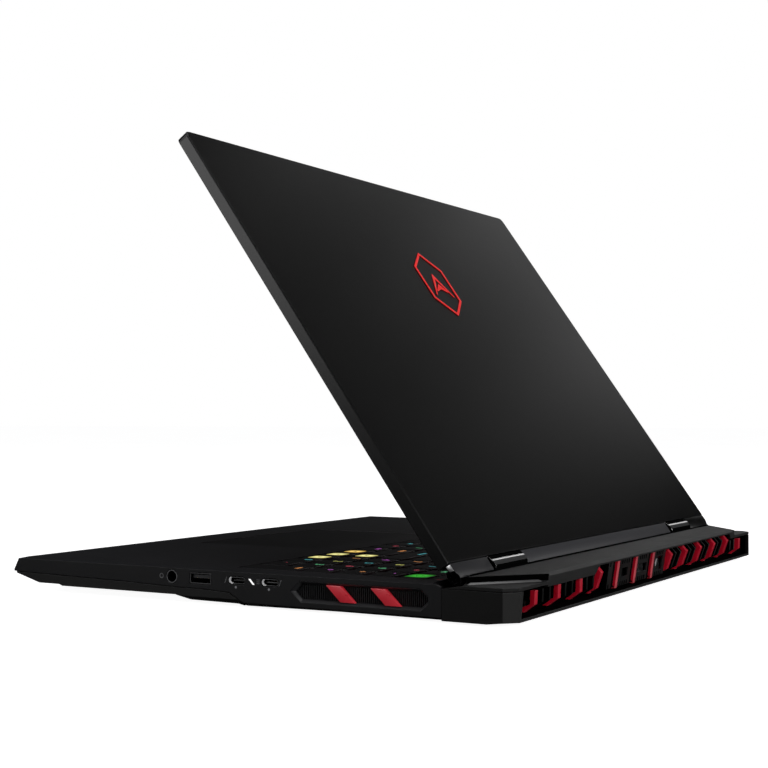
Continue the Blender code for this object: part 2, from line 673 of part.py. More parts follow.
def keyboard():
    key_row("function_key_row", "function", 0, [1.0] * (COLUMNS - 1))
    key_row("number_key_row", "number", 0, [1.0] * 13 + [2.0])
    key_row("upper_key_row", "upper", 0, [1.5] + [1.0] * 12 + [1.5])
    key_row("home_key_row", "home", 0, [1.75] + [1.0] * 11 + [2.25])
    key_row("lower_key_row", "lower", 0, [2.25] + [1.0] * 10 + [1.75])
    key_row("bottom_key_row", "bottom", 0, [1.25, 1.0, 1.0, 1.25])
    single_key("space_bar", "bottom", 4.5, 5.5)
    key_row("right_modifier_keys", "bottom", 10, [1.0] * 3)
    single_key("arrow_left_key", "bottom", PAD_COLUMN - 2)
    single_key("arrow_down_key", "bottom", PAD_COLUMN - 1)
    single_key("arrow_right_key", "bottom", PAD_COLUMN)
    single_key("arrow_up_key", "lower", PAD_COLUMN - 1)
    number_pad()
    single_key("number_pad_enter_key", "bottom", COLUMNS - 1, rows=2)
    single_key("power_key", "function", COLUMNS - 1)
    x0, y0, x1, y1 = WELL
    piece("keyboard_plate", "black_plastic", box((x0 - 3, y0 - 3, 14.2), (x1 + 3, y1 + 3, 15.3)))


def touchpad():
    low, high = (PAD[0] + GAP, PAD[1] + GAP, 16.2), (PAD[2] - GAP, PAD[3] - GAP, DECK_Z - 0.2)
    return piece("touchpad", "deck_metal", box(low, high))


# ---------------------------------------------------------------- lid

def lid_section(*points):
    """Section points given up the lid and outwards, in the closed lid's own axes."""
    return [(-u, w) for u, w in points]


def lid_plan(inset=0.0, corner=4.0):
    x, low, high = LID_HALF_W, LID_BOTTOM, LID_TOP
    outline = [(-x, -low), (x, -low), (x, corner - high)]
    outline += arc((x - corner, corner - high), corner, 0, -90, 4)[1:]
    outline += arc((corner - x, corner - high), corner, -90, -180, 4)
    return grown(outline, -inset)


def lid_cover(lid):
    """Metal back of the lid: a shallow tray with bevelled edges, open towards the screen."""
    x, high = LID_HALF_W - LID_WALL, LID_WALL - LID_TOP
    return piece(
        "lid_cover", "lid_metal", prism("Z", lid_plan(), -0.6, LID_OUT - LID_BEVEL), parent=lid,
        add=[prism("Z", lid_plan(), LID_OUT - LID_BEVEL - 0.1, LID_OUT, lid_plan(LID_BEVEL))],
        cut=[
            prism("Z", [(-x, -7), (x, -7), (x, high), (-x, high)], -2, LID_OUT - 1.6),
            box((-165, -10, -2), (165, 0, LID_OUT - 1.6)),
            joined([prism("X", circle((0, 0), CAP_R + 0.4, 40), *span) for span in NOTCHES]),
        ],
    )


def screen(lid):
    """Bezel frame and, behind it, the display panel."""
    x, y0, y1 = SCREEN_HALF_W, -SCREEN_LOW, -SCREEN_HIGH
    edge, high = LID_HALF_W - LID_WALL - GAP, LID_WALL + GAP - LID_TOP
    frame = [(-edge, -7.4), (edge, -7.4), (edge, high), (-edge, high)]
    window = [(-x, y0), (x, y0), (x, y1), (-x, y1)]
    piece(
        "screen_bezel", "black_plastic", prism("Z", frame, LID_IN, 0.35), parent=lid,
        cut=[prism("Z", grown(window, 0.8), LID_IN - 0.2, 0.5, grown(window, -0.4))],
    )
    panel = box((-x - 1.6, y1 - 1.6, 0.65), (x + 1.6, y0 + 2.0, 3.6))
    piece("display_panel", "screen_glass", panel, parent=lid)


def strip_end_cutters(side):
    """What the strip's outer end loses: a slanted wedge, and the part under the lid's corner."""
    end = side * STRIP_END
    wedge = [(end + side, -2.0), (end - side * 4.5, 5.5), (end + side, 8.0)]
    near, far = sorted((end - side * 10.5, end + side * 6.5))
    return [prism("Z", wedge, -9, 9), box((near, -8, -8), (far, 8, 2.6))]


def hinge_strip(name, low, high, lid, cut=()):
    """Part of the grey strip that wraps the lid's lower edge, concentric with the hinge axis."""
    flat_to = -2.4
    turn = math.degrees(math.atan2(LID_OUT, flat_to))
    bend = arc((0, 0), math.hypot(flat_to, LID_OUT), turn, 200, 9)
    section = lid_section(
        (LID_BOTTOM - GAP, LID_OUT), *bend, (-2.6, -4.0), (2.0, -4.2), (4.1, -3.2),
        (4.1, -2.6), (-2.6, -2.6), (-3.2, 0), (-2.6, 3.2), (4.1, 3.2),
    )
    return piece(name, "grey_plastic", prism("X", section, low, high), cut=cut, parent=lid)


def hinge_strips(lid):
    hinge_strip("hinge_strip_center", -NOTCH_NEAR, NOTCH_NEAR, lid)
    hinge_strip("hinge_strip_right", NOTCH_FAR, STRIP_END, lid, strip_end_cutters(1))
    hinge_strip("hinge_strip_left", -STRIP_END, -NOTCH_FAR, lid, strip_end_cutters(-1))


def hinge_bracket(side, lid):
    """Hinge shaft on the lid's axis, with the arm and plate that carry the lid."""
    near, far = sorted((side * 102.0, side * 152.0))
    inner, outer = sorted((side * 102.0, side * 109.0))
    arm = lid_section((-1.2, -1.6), (-1.2, 1.6), (4.0, 2.6), (9.0, 3.6), (9.0, 0.9), (6.4, 0.9), (4.6, -1.6))
    plate = box((near, -22, 0.9), (far, -7.6, 3.6))
    shaft = prism("X", circle((0, 0), SHAFT_R, 20), near, far)
    return piece(
        f"hinge_bracket_{side_name(side)}", "steel", shaft, parent=lid,
        add=[prism("X", arm, inner + 0.2, outer - 0.2), plate],
    )


def emblem(lid):
    """Plain hexagonal ring on the back of the lid."""
    centre, radius = (0.0, -184.0), 24.0
    hexagon = [(centre[0] + radius * math.sin(math.radians(60 * k)) * 0.84,
                centre[1] + radius * math.cos(math.radians(60 * k))) for k in range(6)]
    return piece(
        "lid_emblem", "red_plastic", prism("Z", hexagon, LID_OUT + 0.05, LID_OUT + 0.35), parent=lid,
        cut=[prism("Z", grown(hexagon, -1.6), LID_OUT - 1, LID_OUT + 1)],
    )


def hinge_cover(side):
    """Drum round the hinge shaft, standing on the trough's floor inside the lid's notch."""
    y, z = HINGE_Y, HINGE_Z
    low = TROUGH_FLOOR + GAP
    head = arc((y, z), CAP_R, 16, 150, 14)
    outline = head + [(y - 5.8, z - 1.4), (y - 3.4, low), (y + 5.6, low), (y + 6.6, z)]
    near, far = sorted((side * CAP_NEAR, side * CAP_FAR))
    return piece(
        f"hinge_cover_{side_name(side)}", "steel", prism("X", outline, near, far),
        cut=[prism("X", circle((y, z), CAP_BORE_R, 20), near - 1, far + 1)],
    )


# ---------------------------------------------------------------- feet

def feet():
    piece("foot_front", "rubber", prism("Z", rectangle((0, -102), (250, 8)), 0, PALM_BOTTOM - GAP))
    for side in (-1, 1):
        foot = prism("Z", rectangle((side * 110, 122), (84, 9)), 0, SHELL_BOTTOM - GAP)
        piece(f"foot_rear_{side_name(side)}", "rubber", foot)


def main():
    clear_scene()
    lid = bpy.data.objects.new("lid_hinge_axis", None)
    lid.location = (0, HINGE_Y * MM, HINGE_Z * MM)
    lid.rotation_euler = (-math.radians(OPEN_DEG), 0, 0)
    bpy.context.scene.collection.objects.link(lid)
    top_cover()
    bottom_cover()
    rear_cover()
    rear_shell()
    rear_grille()
    red_ribs()
    for side in (1, -1):
        side_vent(side)
        side_slashes(side)
        heat_fins(side)
        fan_housing(side)
        fan_rotor(side)
        hinge_cover(side)
        hinge_bracket(side, lid)
    ports()
    motherboard()
    battery_pack()
    heat_pipes()
    small_inner_parts()
    keyboard()
    touchpad()
    feet()
    lid_cover(lid)
    screen(lid)
    hinge_strips(lid)
    emblem(lid)


main()
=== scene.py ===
"""Looks of a 17-inch gaming laptop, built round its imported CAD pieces.

+X is the user's right, +Y the rear and +Z up. Shapes are drawn here in millimetres, and new_piece turns them
into metres. Lid shapes are drawn on the closed lid, from the hinge axis: x, then towards the user, then up.
"""

import json
import math

import bmesh
import bpy
from mathutils import Matrix, Vector


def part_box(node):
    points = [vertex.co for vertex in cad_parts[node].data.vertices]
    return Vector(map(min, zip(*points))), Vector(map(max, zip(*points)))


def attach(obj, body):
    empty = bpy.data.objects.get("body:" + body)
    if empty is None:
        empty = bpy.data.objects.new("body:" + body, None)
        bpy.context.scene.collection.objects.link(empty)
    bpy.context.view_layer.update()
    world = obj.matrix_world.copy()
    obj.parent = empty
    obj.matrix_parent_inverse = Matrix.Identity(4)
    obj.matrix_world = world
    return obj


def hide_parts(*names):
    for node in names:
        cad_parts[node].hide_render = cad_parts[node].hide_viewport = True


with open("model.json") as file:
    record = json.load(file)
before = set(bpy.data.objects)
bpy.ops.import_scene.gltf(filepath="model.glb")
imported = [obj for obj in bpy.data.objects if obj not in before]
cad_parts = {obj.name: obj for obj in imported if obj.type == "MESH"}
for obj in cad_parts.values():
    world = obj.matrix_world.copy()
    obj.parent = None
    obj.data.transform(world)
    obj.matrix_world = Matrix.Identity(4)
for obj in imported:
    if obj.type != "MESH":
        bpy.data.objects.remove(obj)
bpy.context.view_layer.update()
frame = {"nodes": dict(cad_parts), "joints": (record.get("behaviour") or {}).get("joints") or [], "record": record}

MM = 0.001


def box_of(node):
    """Lowest and highest corner of a CAD node, in millimetres."""
    return [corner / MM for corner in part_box(node)]


def middle_of(node):
    """Centre of a CAD node's box."""
    low, high = box_of(node)
    return (low + high) / 2


# Places read from the frame
BASE_HIGH = box_of("top_cover")[1]
HALF_W = BASE_HIGH.x
DECK_Z = BASE_HIGH.z
REAR = box_of("rear_cover")[1].y
HINGE = next(joint for joint in frame["joints"] if joint["name"] == "lid_hinge")
AXIS = Vector(HINGE["pos_m"]) / MM
LID_PLACE = Matrix.Translation(AXIS) @ Matrix.Rotation(math.radians(HINGE["range_deg"][0]), 4, "X")
LID_IN = LID_PLACE.inverted()
BODY_OF = {node: body for body, nodes in frame["record"]["behaviour"]["bodies"].items() for node in nodes}
SLOT_OF = {subpart["node"]: subpart["material_slot"] for subpart in frame["record"]["subparts"]}
SIDES = {1: "right", -1: "left"}

# Rear block
LIP_Y = 122.0  # just behind the front edge of the shelf
SHELF_TOP = box_of("rear_cover")[1].z
RIB_PITCH, PORT_RIBS = 27.4, 3  # the ribs at the middle and the next two to the right have sockets between them
FOOT_Z = box_of("red_ribs")[0].z + 1.25  # below this the ribs and blades are in the dark
TEXT_PANEL_X = 86.0  # right of this a plain panel covers the top of the grille
PLATE = (-24.0, 66.0)  # ends of the plate round the rear sockets
PLATE_TOP, PLATE_LEAN = 19.1, 0.15
PLATE_FACE = REAR - 2.7  # at its top
RIB_FRONT = REAR - 1.5  # of the ribs between the sockets, at the plate's top
CAD_PLATE_FACE, CAD_PLATE_BACK = REAR - 6.5, REAR - 8.3
SOCKET_Z = 12.0  # middle height of the rear sockets

# Keyboard grid
COLUMNS, PAD_COLUMN, FUNCTION_ROW = 19, 15, 5
KEY_GAP = 2.6
PAD_REAR = box_of("number_pad_keys")[1].y
ARROW_LOW, ARROW_HIGH = box_of("arrow_up_key")
KEY_PITCH = ARROW_HIGH.x - ARROW_LOW.x + KEY_GAP
ROW_PITCH = ARROW_HIGH.y - ARROW_LOW.y + KEY_GAP
KEY_BOTTOM, KEY_TOP = ARROW_LOW.z, ARROW_HIGH.z
BAR_LOW, BAR_HIGH = KEY_BOTTOM + 0.2, KEY_BOTTOM + 0.8  # of the bars that join the caps of one body
GRID_FRONT = box_of("space_bar")[0].y
FUNCTION_LOW, FUNCTION_HIGH = box_of("power_key")

# Camera, in metres and degrees
CAMERA_AT = (0.7779, 0.4164, 0.0938)
CAMERA_TURN, CAMERA_TILT = 60.396, 1.325
CAMERA_LENS, CAMERA_SENSOR = 68.18, 36.0

# Light that falls from the surroundings, overhead and from everywhere else
ABOVE, BELOW = (0.36, 0.36, 0.38), (0.006, 0.006, 0.006)
# Softboxes: name, place, aim, size and power, in metres and watts
SOFTBOXES = (
    ("key_low", (-1.84, -0.06, 0.59), (0, 0.04, 0.13), (0.5, 0.4), 0.38),
    ("key_middle", (-1.73, -0.27, 0.84), (0, 0.04, 0.13), (0.5, 0.4), 0.44),
    ("key_high", (-1.55, -0.46, 1.11), (0, 0.04, 0.13), (0.5, 0.4), 0.59),
    ("overhead", (0.1, 0.25, 1.5), (0, 0, 0), (1.2, 1.2), 6),
    ("right_fill", (1.3, -0.9, 0.55), (0, 0, 0), (0.9, 0.7), 5.5),
    ("rear_right", (0.9, 1.5, 0.6), (0, 0.1, 0), (1.0, 0.6), 12),
    ("rear_left", (-1.2, 1.5, 0.35), (0, 0.1, 0), (1.0, 0.5), 6),
)


# ---------------------------------------------------------------- finishes

class Finish:
    """A Principled material, with short calls for the nodes that the finishes share. Sizes are in millimetres."""

    def __init__(self, name, colour, roughness, metallic=0.0, specular=0.5, coat=0.0):
        self.material = bpy.data.materials.new(name)
        self.material.use_nodes = True
        self.nodes, self.links = self.material.node_tree.nodes, self.material.node_tree.links
        self.shader = self.nodes["Principled BSDF"]
        for place, value in (("Base Color", colour), ("Roughness", roughness), ("Metallic", metallic),
                             ("Specular IOR Level", specular), ("Coat Weight", coat)):
            self.feed(self.shader.inputs[place], value)
        self.place = self.node("TexCoord").outputs["Object"]

    def feed(self, target, value):
        """Links an input to a socket, or sets it to a number or a colour."""
        if isinstance(value, bpy.types.NodeSocket):
            self.links.new(value, target)
        else:
            target.default_value = (*value, 1) if target.type == "RGBA" else value

    def node(self, kind, **values):
        """A shader node. A value that names an input is a number or a socket to link; others are settings."""
        made = self.nodes.new("ShaderNode" + kind)
        for key, value in values.items():
            if hasattr(made, key):
                setattr(made, key, value)
            else:
                self.feed(made.inputs[key.replace("_", " ")], value)
        return made

    def noise(self, size, detail=2.0, stretch=(1, 1, 1)):
        """Soft random blots of about this size, from 0 to 1."""
        place = self.node("Mapping", Vector=self.place, Scale=stretch).outputs["Vector"]
        return self.node("TexNoise", Vector=place, Scale=1 / (size * MM), Detail=detail).outputs["Fac"]

    def range(self, value, low, high, to_low, to_high):
        made = self.node("MapRange", Value=value, From_Min=low, From_Max=high, To_Min=to_low, To_Max=to_high)
        return made.outputs["Result"]

    def maths(self, operation, a, b):
        made = self.node("Math", operation=operation)
        for value, target in zip((a, b), made.inputs):
            self.feed(target, value)
        return made.outputs[0]

    def blend(self, factor, a, b):
        """Colour a where the factor is 0, b where it is 1."""
        made = self.node("Mix", data_type="RGBA")
        for value, number in ((factor, 0), (a, 6), (b, 7)):
            self.feed(made.inputs[number], value)
        return made.outputs[2]

    def edges(self, radius):
        """A normal with rounded edges, and a mask that is 1 on them."""
        rounded = self.node("Bevel", samples=6, Radius=radius * MM).outputs["Normal"]
        flat = self.node("NewGeometry").outputs["Normal"]
        same = self.node("VectorMath", operation="DOT_PRODUCT")
        self.links.new(rounded, same.inputs[0])
        self.links.new(flat, same.inputs[1])
        return rounded, self.range(same.outputs["Value"], 0.97, 0.80, 0.0, 1.0)

    def bump(self, height, depth, normal=None, strength=1.0):
        made = self.node("Bump", Height=height, Distance=depth * MM, Strength=strength)
        if normal:
            self.links.new(normal, made.inputs["Normal"])
        return made.outputs["Normal"]

    def glow(self, colour, strength):
        self.feed(self.shader.inputs["Emission Color"], colour)
        self.shader.inputs["Emission Strength"].default_value = strength

    def use(self, colour=None, roughness=None, normal=None):
        """The material, with these sockets linked to its shader."""
        for value, name in ((colour, "Base Color"), (roughness, "Roughness"), (normal, "Normal")):
            if value:
                self.links.new(value, self.shader.inputs[name])
        return self.material


def shade(colour, factor):
    return tuple(min(1.0, channel * factor) for channel in colour)


def moulded(name, colour, roughness, specular=0.5, metallic=0.0, coat=0.0, grain=0.35, depth=0.02,
            uneven=0.25, edge=None, radius=0.3):
    """Moulded plastic or blasted metal: fine grain, uneven sheen, handling marks and lighter worn edges."""
    finish = Finish(name, colour, roughness, metallic, specular, coat)
    rounded, mask = finish.edges(radius)
    fine = finish.noise(grain, 3.0)
    broad = finish.noise(28.0, 4.0)
    marks = finish.range(finish.noise(9.0, 6.0, (1, 2.2, 1)), 0.52, 0.75, 0.0, 1.0)
    clouds = finish.range(broad, 0.3, 0.7, 0.0, 1.0)
    tone = finish.blend(clouds, shade(colour, 1 - uneven), shade(colour, 1 + uneven))
    speck = finish.blend(finish.range(fine, 0.35, 0.65, 0.0, 0.5), tone, shade(colour, 1.5))
    worn = finish.blend(finish.maths("MULTIPLY", mask, 0.8), speck, edge or shade(colour, 2.2))
    patches = finish.range(broad, 0.3, 0.7, roughness * (1 - uneven / 4), roughness * (1 + uneven / 4))
    sheen = finish.maths("ADD", patches, finish.maths("MULTIPLY", marks, -uneven / 6))
    return finish.use(worn, sheen, finish.bump(fine, depth, rounded, 0.6))


def brushed(name, colour, roughness, tarnish=None):
    """Metal drawn along X, with fine scratches and a little tarnish."""
    finish = Finish(name, colour, roughness, 1.0)
    rounded, mask = finish.edges(0.15)
    lines = finish.noise(0.25, 4.0, (0.04, 1, 1))
    stains = finish.range(finish.noise(6.0, 5.0), 0.45, 0.75, 0.0, 0.7)
    tone = finish.blend(stains, colour, tarnish or shade(colour, 0.6))
    bright = finish.blend(mask, tone, shade(colour, 1.4))
    return finish.use(bright, finish.range(lines, 0.3, 0.7, roughness - 0.08, roughness + 0.12),
                      finish.bump(lines, 0.01, rounded, 0.5))


def red_plastic(name, colour, radius, glow=0.0):
    """Glossy red plastic, paler on its edges as a painted highlight; the glow adds painted light of the piece's own
    colour.
    """
    finish = Finish(name, colour, 0.3, specular=0.5, coat=0.2)
    if glow:
        finish.glow(colour, glow)
    rounded, mask = finish.edges(radius)
    cloud = finish.range(finish.noise(7.0, 3.0), 0.3, 0.7, 0.0, 1.0)
    body = finish.blend(cloud, shade(colour, 0.85), shade(colour, 1.12))
    # Painted highlight: the rounded edges are blended towards pale red
    colour = finish.blend(finish.maths("MULTIPLY", mask, 0.7), body, (0.85, 0.16, 0.18))
    grain = finish.noise(0.4, 2.0)
    return finish.use(colour, finish.range(cloud, 0, 1, 0.26, 0.36), finish.bump(grain, 0.008, rounded, 0.4))


def circuit_board():
    """Dark green solder mask with tracks and pads."""
    finish = Finish("circuit_board", (0.006, 0.03, 0.016), 0.35)
    cells = finish.node("TexBrick", Vector=finish.place, Scale=1 / (9 * MM), Mortar_Size=0.03).outputs["Fac"]
    dots = finish.node("TexVoronoi", Vector=finish.place, Scale=1 / (2.4 * MM)).outputs["Distance"]
    pads = finish.range(dots, 0.16, 0.12, 0.0, 1.0)
    tracks = finish.blend(cells, (0.004, 0.022, 0.012), (0.012, 0.075, 0.035))
    colour = finish.blend(pads, tracks, (0.45, 0.36, 0.20))
    return finish.use(colour, finish.range(pads, 0, 1, 0.35, 0.2), finish.bump(cells, 0.03))


def cell_wrap():
    """Creased black film round the battery cells."""
    finish = Finish("cell_wrap", (0.02, 0.02, 0.022), 0.4)
    creases = finish.noise(5.0, 5.0, (1, 0.4, 1))
    tone = finish.blend(creases, (0.012, 0.012, 0.014), (0.034, 0.034, 0.036))
    return finish.use(tone, finish.range(creases, 0.3, 0.7, 0.3, 0.5), finish.bump(creases, 0.15))


def screen_glass():
    """Dark anti-glare panel that shows a plain wallpaper of slow waves."""
    finish = Finish("screen_glass", (0.004, 0.004, 0.005), 0.16)
    haze = finish.noise(0.12, 1.0)
    smears = finish.noise(35.0, 5.0)
    waves = finish.node("TexWave", Vector=finish.place, Scale=2.2, Distortion=5.0, Detail=3.0,
                        Detail_Scale=1.2).outputs["Fac"]
    finish.glow(finish.blend(waves, (0.001, 0.001, 0.002), (0.055, 0.004, 0.010)), 1.0)
    tone = finish.blend(smears, (0.003, 0.003, 0.004), (0.007, 0.007, 0.008))
    return finish.use(tone, finish.range(smears, 0.3, 0.7, 0.12, 0.22), finish.bump(haze, 0.004, None, 0.4))


def glowing(name, colour, strength, centre=None):
    """Lit plastic. With a centre colour, it is brightest in the middle of its piece and falls off to its rim."""
    finish = Finish(name, shade(colour, 0.5), 0.35, specular=0.4)
    if centre:
        place = finish.node("Mapping", Vector=finish.node("TexCoord").outputs["Generated"],
                            Location=(-0.85, -0.85, -0.6), Scale=(1.7, 1.7, 0.6)).outputs["Vector"]
        spot = finish.node("TexGradient", gradient_type="QUADRATIC_SPHERE", Vector=place).outputs["Fac"]
        light = finish.blend(finish.range(spot, 0.0, 0.55, 0.0, 1.0), shade(colour, 0.25), centre)
    else:
        mottle = finish.range(finish.noise(1.6, 2.0), 0.3, 0.7, 0.75, 1.0)
        light = finish.blend(mottle, shade(colour, 0.5), colour)
    finish.glow(light, strength)
    grain = finish.noise(0.3, 2.0)
    return finish.use(None, finish.range(grain, 0.3, 0.7, 0.3, 0.45), finish.bump(grain, 0.01, None, 0.4))


def grey(level):
    return level, level, level


# What some finishes share
DECK_FEEL = {"roughness": 0.42, "specular": 0.35, "grain": 0.22, "depth": 0.012, "uneven": 0.12}
SHELL_FEEL = {"roughness": 0.46, "specular": 0.4, "grain": 0.4, "depth": 0.02, "uneven": 0.18}
STRIP_FEEL = {"roughness": 0.5, "grain": 0.3, "depth": 0.008, "uneven": 0.08}
METAL_FEEL = {"grain": 0.2, "depth": 0.004, "uneven": 0.1}
SHELL_EDGE = (0.022, 0.022, 0.021)

# The finish of each material slot
FINISHES = {
    "deck_metal": moulded("deck_metal", (0.0070, 0.0070, 0.0080), edge=(0.022, 0.022, 0.025), **DECK_FEEL),
    "lid_metal": moulded("lid_metal", (0.0008, 0.0008, 0.0009), 0.30, 0.4, grain=0.2, depth=0.004,
                         uneven=0.06, edge=(0.014, 0.014, 0.015), radius=0.35),
    "shell_plastic": moulded("shell_plastic", (0.0080, 0.0079, 0.0077), edge=SHELL_EDGE, **SHELL_FEEL),
    "grey_plastic": moulded("grey_plastic", (0.030, 0.030, 0.034), edge=(0.050, 0.050, 0.053), **STRIP_FEEL),
    "black_plastic": moulded("black_plastic", (0.0018, 0.0018, 0.0020), 0.5, 0.12, uneven=0.2,
                             edge=grey(0.005)),
    "red_plastic": red_plastic("red_plastic", (0.72, 0.005, 0.028), 0.5),
    "key_plastic": moulded("key_plastic", (0.0070, 0.0070, 0.0080), 0.42, 0.35, grain=0.3, depth=0.012,
                           uneven=0.1, edge=(0.018, 0.018, 0.020)),
    "lit_key_plastic": glowing("lit_key_plastic", (1.0, 0.75, 0.10), 1.0, (1.0, 0.9, 0.45)),
    "rubber": moulded("rubber", grey(0.006), 0.8, 0.3, grain=0.5, depth=0.04, uneven=0.3),
    "steel": brushed("steel", (0.45, 0.45, 0.46), 0.3),
    "hinge_metal": brushed("hinge_metal", grey(0.42), 0.16, grey(0.36)),
    "copper": brushed("copper", (0.70, 0.30, 0.17), 0.3, (0.35, 0.14, 0.09)),
    "circuit_board": circuit_board(),
    "cell_wrap": cell_wrap(),
    "screen_glass": screen_glass(),
}

# Finishes of single faces and small pieces
# Painted light: a brighter red for the ribs' rear faces, and a pale pink painted highlight for the ribs between the
# sockets
RED_PAINTED_LIT_FACE = red_plastic("red_painted_lit_face", (0.80, 0.020, 0.052), 0.5)
RED_PAINTED_HIGHLIGHT = red_plastic("red_painted_highlight", (0.90, 0.13, 0.16), 0.5)
SLASH_RED = red_plastic("slash_red", (1.0, 0.045, 0.070), 0.3)
# The emblem glows faintly: painted light that brightens its red
EMBLEM_RED_PAINTED_GLOW = red_plastic("emblem_red_painted_glow", (0.85, 0.020, 0.020), 0.2, 0.34)
# Painted shade: near-black put on gaps, hollows, undersides and faces that lie in shade
PAINTED_SHADE_BLACK = moulded("painted_shade_black", grey(0.0005), 0.9, 0.02, grain=0.5, depth=0.01, uneven=0.3, edge=grey(0.001))
# Painted light on the deck's top, and painted shade on the side walls and the rear shell's walls
DECK_TOP_PAINTED_LIGHT = moulded("deck_top_painted_light", (0.0178, 0.0180, 0.0202), edge=(0.030, 0.030, 0.033), **DECK_FEEL)
SIDE_WALL_PAINTED_SHADE = moulded("side_wall_painted_shade", grey(0.0048), edge=grey(0.016), **SHELL_FEEL)
SHELL_WALL_PAINTED_SHADE = moulded("shell_wall_painted_shade", grey(0.0035), edge=grey(0.014), **{**SHELL_FEEL, "specular": 0.3})
REAR_TOP = moulded("rear_top", (0.0075, 0.0074, 0.0074), edge=SHELL_EDGE, **{**SHELL_FEEL, "specular": 0.29})
# Painted shade: a darker copy of the grey strip plastic, for the near strip
STRIP_SHADE = moulded("strip_shade", (0.015, 0.015, 0.017), edge=(0.030, 0.030, 0.033), **STRIP_FEEL)
# Painted highlight: near-white for the glints on the USB-C lips and the network socket's shield
PAINTED_GLINT_WHITE = moulded("painted_glint_white", (0.92, 0.92, 0.95), 0.3, grain=0.2, depth=0.004, uneven=0.05)
BLADE_GREY = moulded("blade_grey", (0.024, 0.025, 0.025), 0.4, 0.4, uneven=0.15)
PANEL_GREY = moulded("panel_grey", (0.009, 0.0088, 0.0088), 0.5, 0.26, uneven=0.3)
GRILLE_DARK = moulded("grille_dark", (0.0030, 0.0032, 0.0031), 0.6, 0.08, uneven=0.3)
# Painted light: the lit grey of the drums' faces below their painted highlight
DRUM_PAINTED_LIT_GREY = moulded("drum_painted_lit_grey", (0.055, 0.055, 0.056), 0.3, metallic=0.3, **METAL_FEEL)
# Painted highlight: a paler grey for the vent mouths' slanted faces
VENT_EDGE_PAINTED_HIGHLIGHT = moulded("vent_edge_painted_highlight", (0.030, 0.030, 0.032), 0.35, **METAL_FEEL)
DARK_STEEL = moulded("dark_steel", (0.035, 0.035, 0.037), 0.4, **METAL_FEEL)
RIM_STEEL = moulded("rim_steel", (0.050, 0.050, 0.052), 0.4, **METAL_FEEL)
END_STEEL = brushed("socket_steel", (0.85, 0.85, 0.86), 0.35)
# Painted highlight: a bright steel facet along each drum
DRUM_PAINTED_HIGHLIGHT = brushed("drum_painted_highlight", grey(0.95), 0.16, grey(0.90))
# Pale grey for the deck accent's border, and for the corner beads as a painted highlight
PALE_TRIM_AND_PAINTED_HIGHLIGHT = moulded("corner_bead", grey(0.11), 0.3, metallic=0.2, grain=0.3, depth=0.006, uneven=0.1)
GOLD = brushed("gold_contacts", (0.75, 0.52, 0.22), 0.25)
LENS = moulded("camera_lens", (0.004, 0.004, 0.007), 0.08, 0.8, coat=1.0, grain=2.0, depth=0.001)
MARK = moulded("port_mark", (0.10, 0.10, 0.105), 0.5, grain=0.2, depth=0.004)
LED = glowing("status_light", (0.30, 0.30, 0.32), 0.25)
WHITE_LAMP = glowing("white_lamp", (1.0, 1.0, 1.0), 1.0)
LEGEND_COLOURS = {
    "purple": (0.55, 0.12, 0.60), "green": (0.15, 0.65, 0.30), "teal": (0.10, 0.50, 0.55),
    "orange": (0.85, 0.35, 0.12), "red": (0.75, 0.10, 0.15), "yellow": (0.75, 0.75, 0.20),
}
LEGENDS = [glowing("legend_" + name, colour, 0.6) for name, colour in LEGEND_COLOURS.items()]


# ---------------------------------------------------------------- shapes

def lifted(outline, axis, level):
    """The outline's points in space: drawn in the other two axes, at this level along the axis."""
    slot = "XYZ".index(axis)
    return [(*point[:slot], level, *point[slot:]) for point in outline]


def prism(shape, axis, outline, low, high):
    """Adds the outline swept along the axis from low to high."""
    first, last = ([shape.verts.new(point) for point in lifted(outline, axis, level)] for level in (low, high))
    faces = [shape.faces.new(first), shape.faces.new(last)]
    for i in range(len(outline)):
        j = (i + 1) % len(outline)
        faces.append(shape.faces.new((first[i], first[j], last[j], last[i])))
    bmesh.ops.recalc_face_normals(shape, faces=faces)


def block(shape, low, high):
    outline = [(low[0], low[1]), (high[0], low[1]), (high[0], high[1]), (low[0], high[1])]
    prism(shape, "Z", outline, low[2], high[2])


def rings(shape, levels, closed=True):
    """Adds a skin over loops of points that all have the same count, closed at both ends or open."""
    loops = [[shape.verts.new(point) for point in level] for level in levels]
    faces = []
    for lower, upper in zip(loops, loops[1:]):
        for i in range(len(lower)):
            j = (i + 1) % len(lower)
            faces.append(shape.faces.new((lower[i], lower[j], upper[j], upper[i])))
    if closed:
        faces += [shape.faces.new(loops[0][::-1]), shape.faces.new(loops[-1])]
    bmesh.ops.recalc_face_normals(shape, faces=faces)


def arc(centre, radius, start, end, steps):
    angles = [math.radians(start + (end - start) * i / steps) for i in range(steps + 1)]
    return [(centre[0] + radius * math.cos(a), centre[1] + radius * math.sin(a)) for a in angles]


def circle(centre, radius, sides=24):
    return arc(centre, radius, 0, 360, sides)[:-1]


def rounded(low, high, radius, steps=3):
    """Outline of a rectangle with round corners."""
    (x0, y0), (x1, y1), r = low, high, radius
    corners = (((x1 - r, y1 - r), 0), ((x0 + r, y1 - r), 90), ((x0 + r, y0 + r), 180), ((x1 - r, y0 + r), 270))
    return [point for centre, start in corners for point in arc(centre, r, start, start + 90, steps)]


def grown(outline, by):
    """The outline moved outwards by a distance."""
    area = sum(a[0] * b[1] - b[0] * a[1] for a, b in zip(outline, outline[1:] + outline[:1]))
    moved = []
    for i, point in enumerate(outline):
        here = Vector(point)
        before = (here - Vector(outline[i - 1])).normalized()
        after = (Vector(outline[(i + 1) % len(outline)]) - here).normalized()
        normals = [Vector((edge.y, -edge.x)) * math.copysign(1, area) for edge in (before, after)]
        moved.append(tuple(here + (normals[0] + normals[1]) / (1 + normals[0].dot(normals[1])) * by))
    return moved


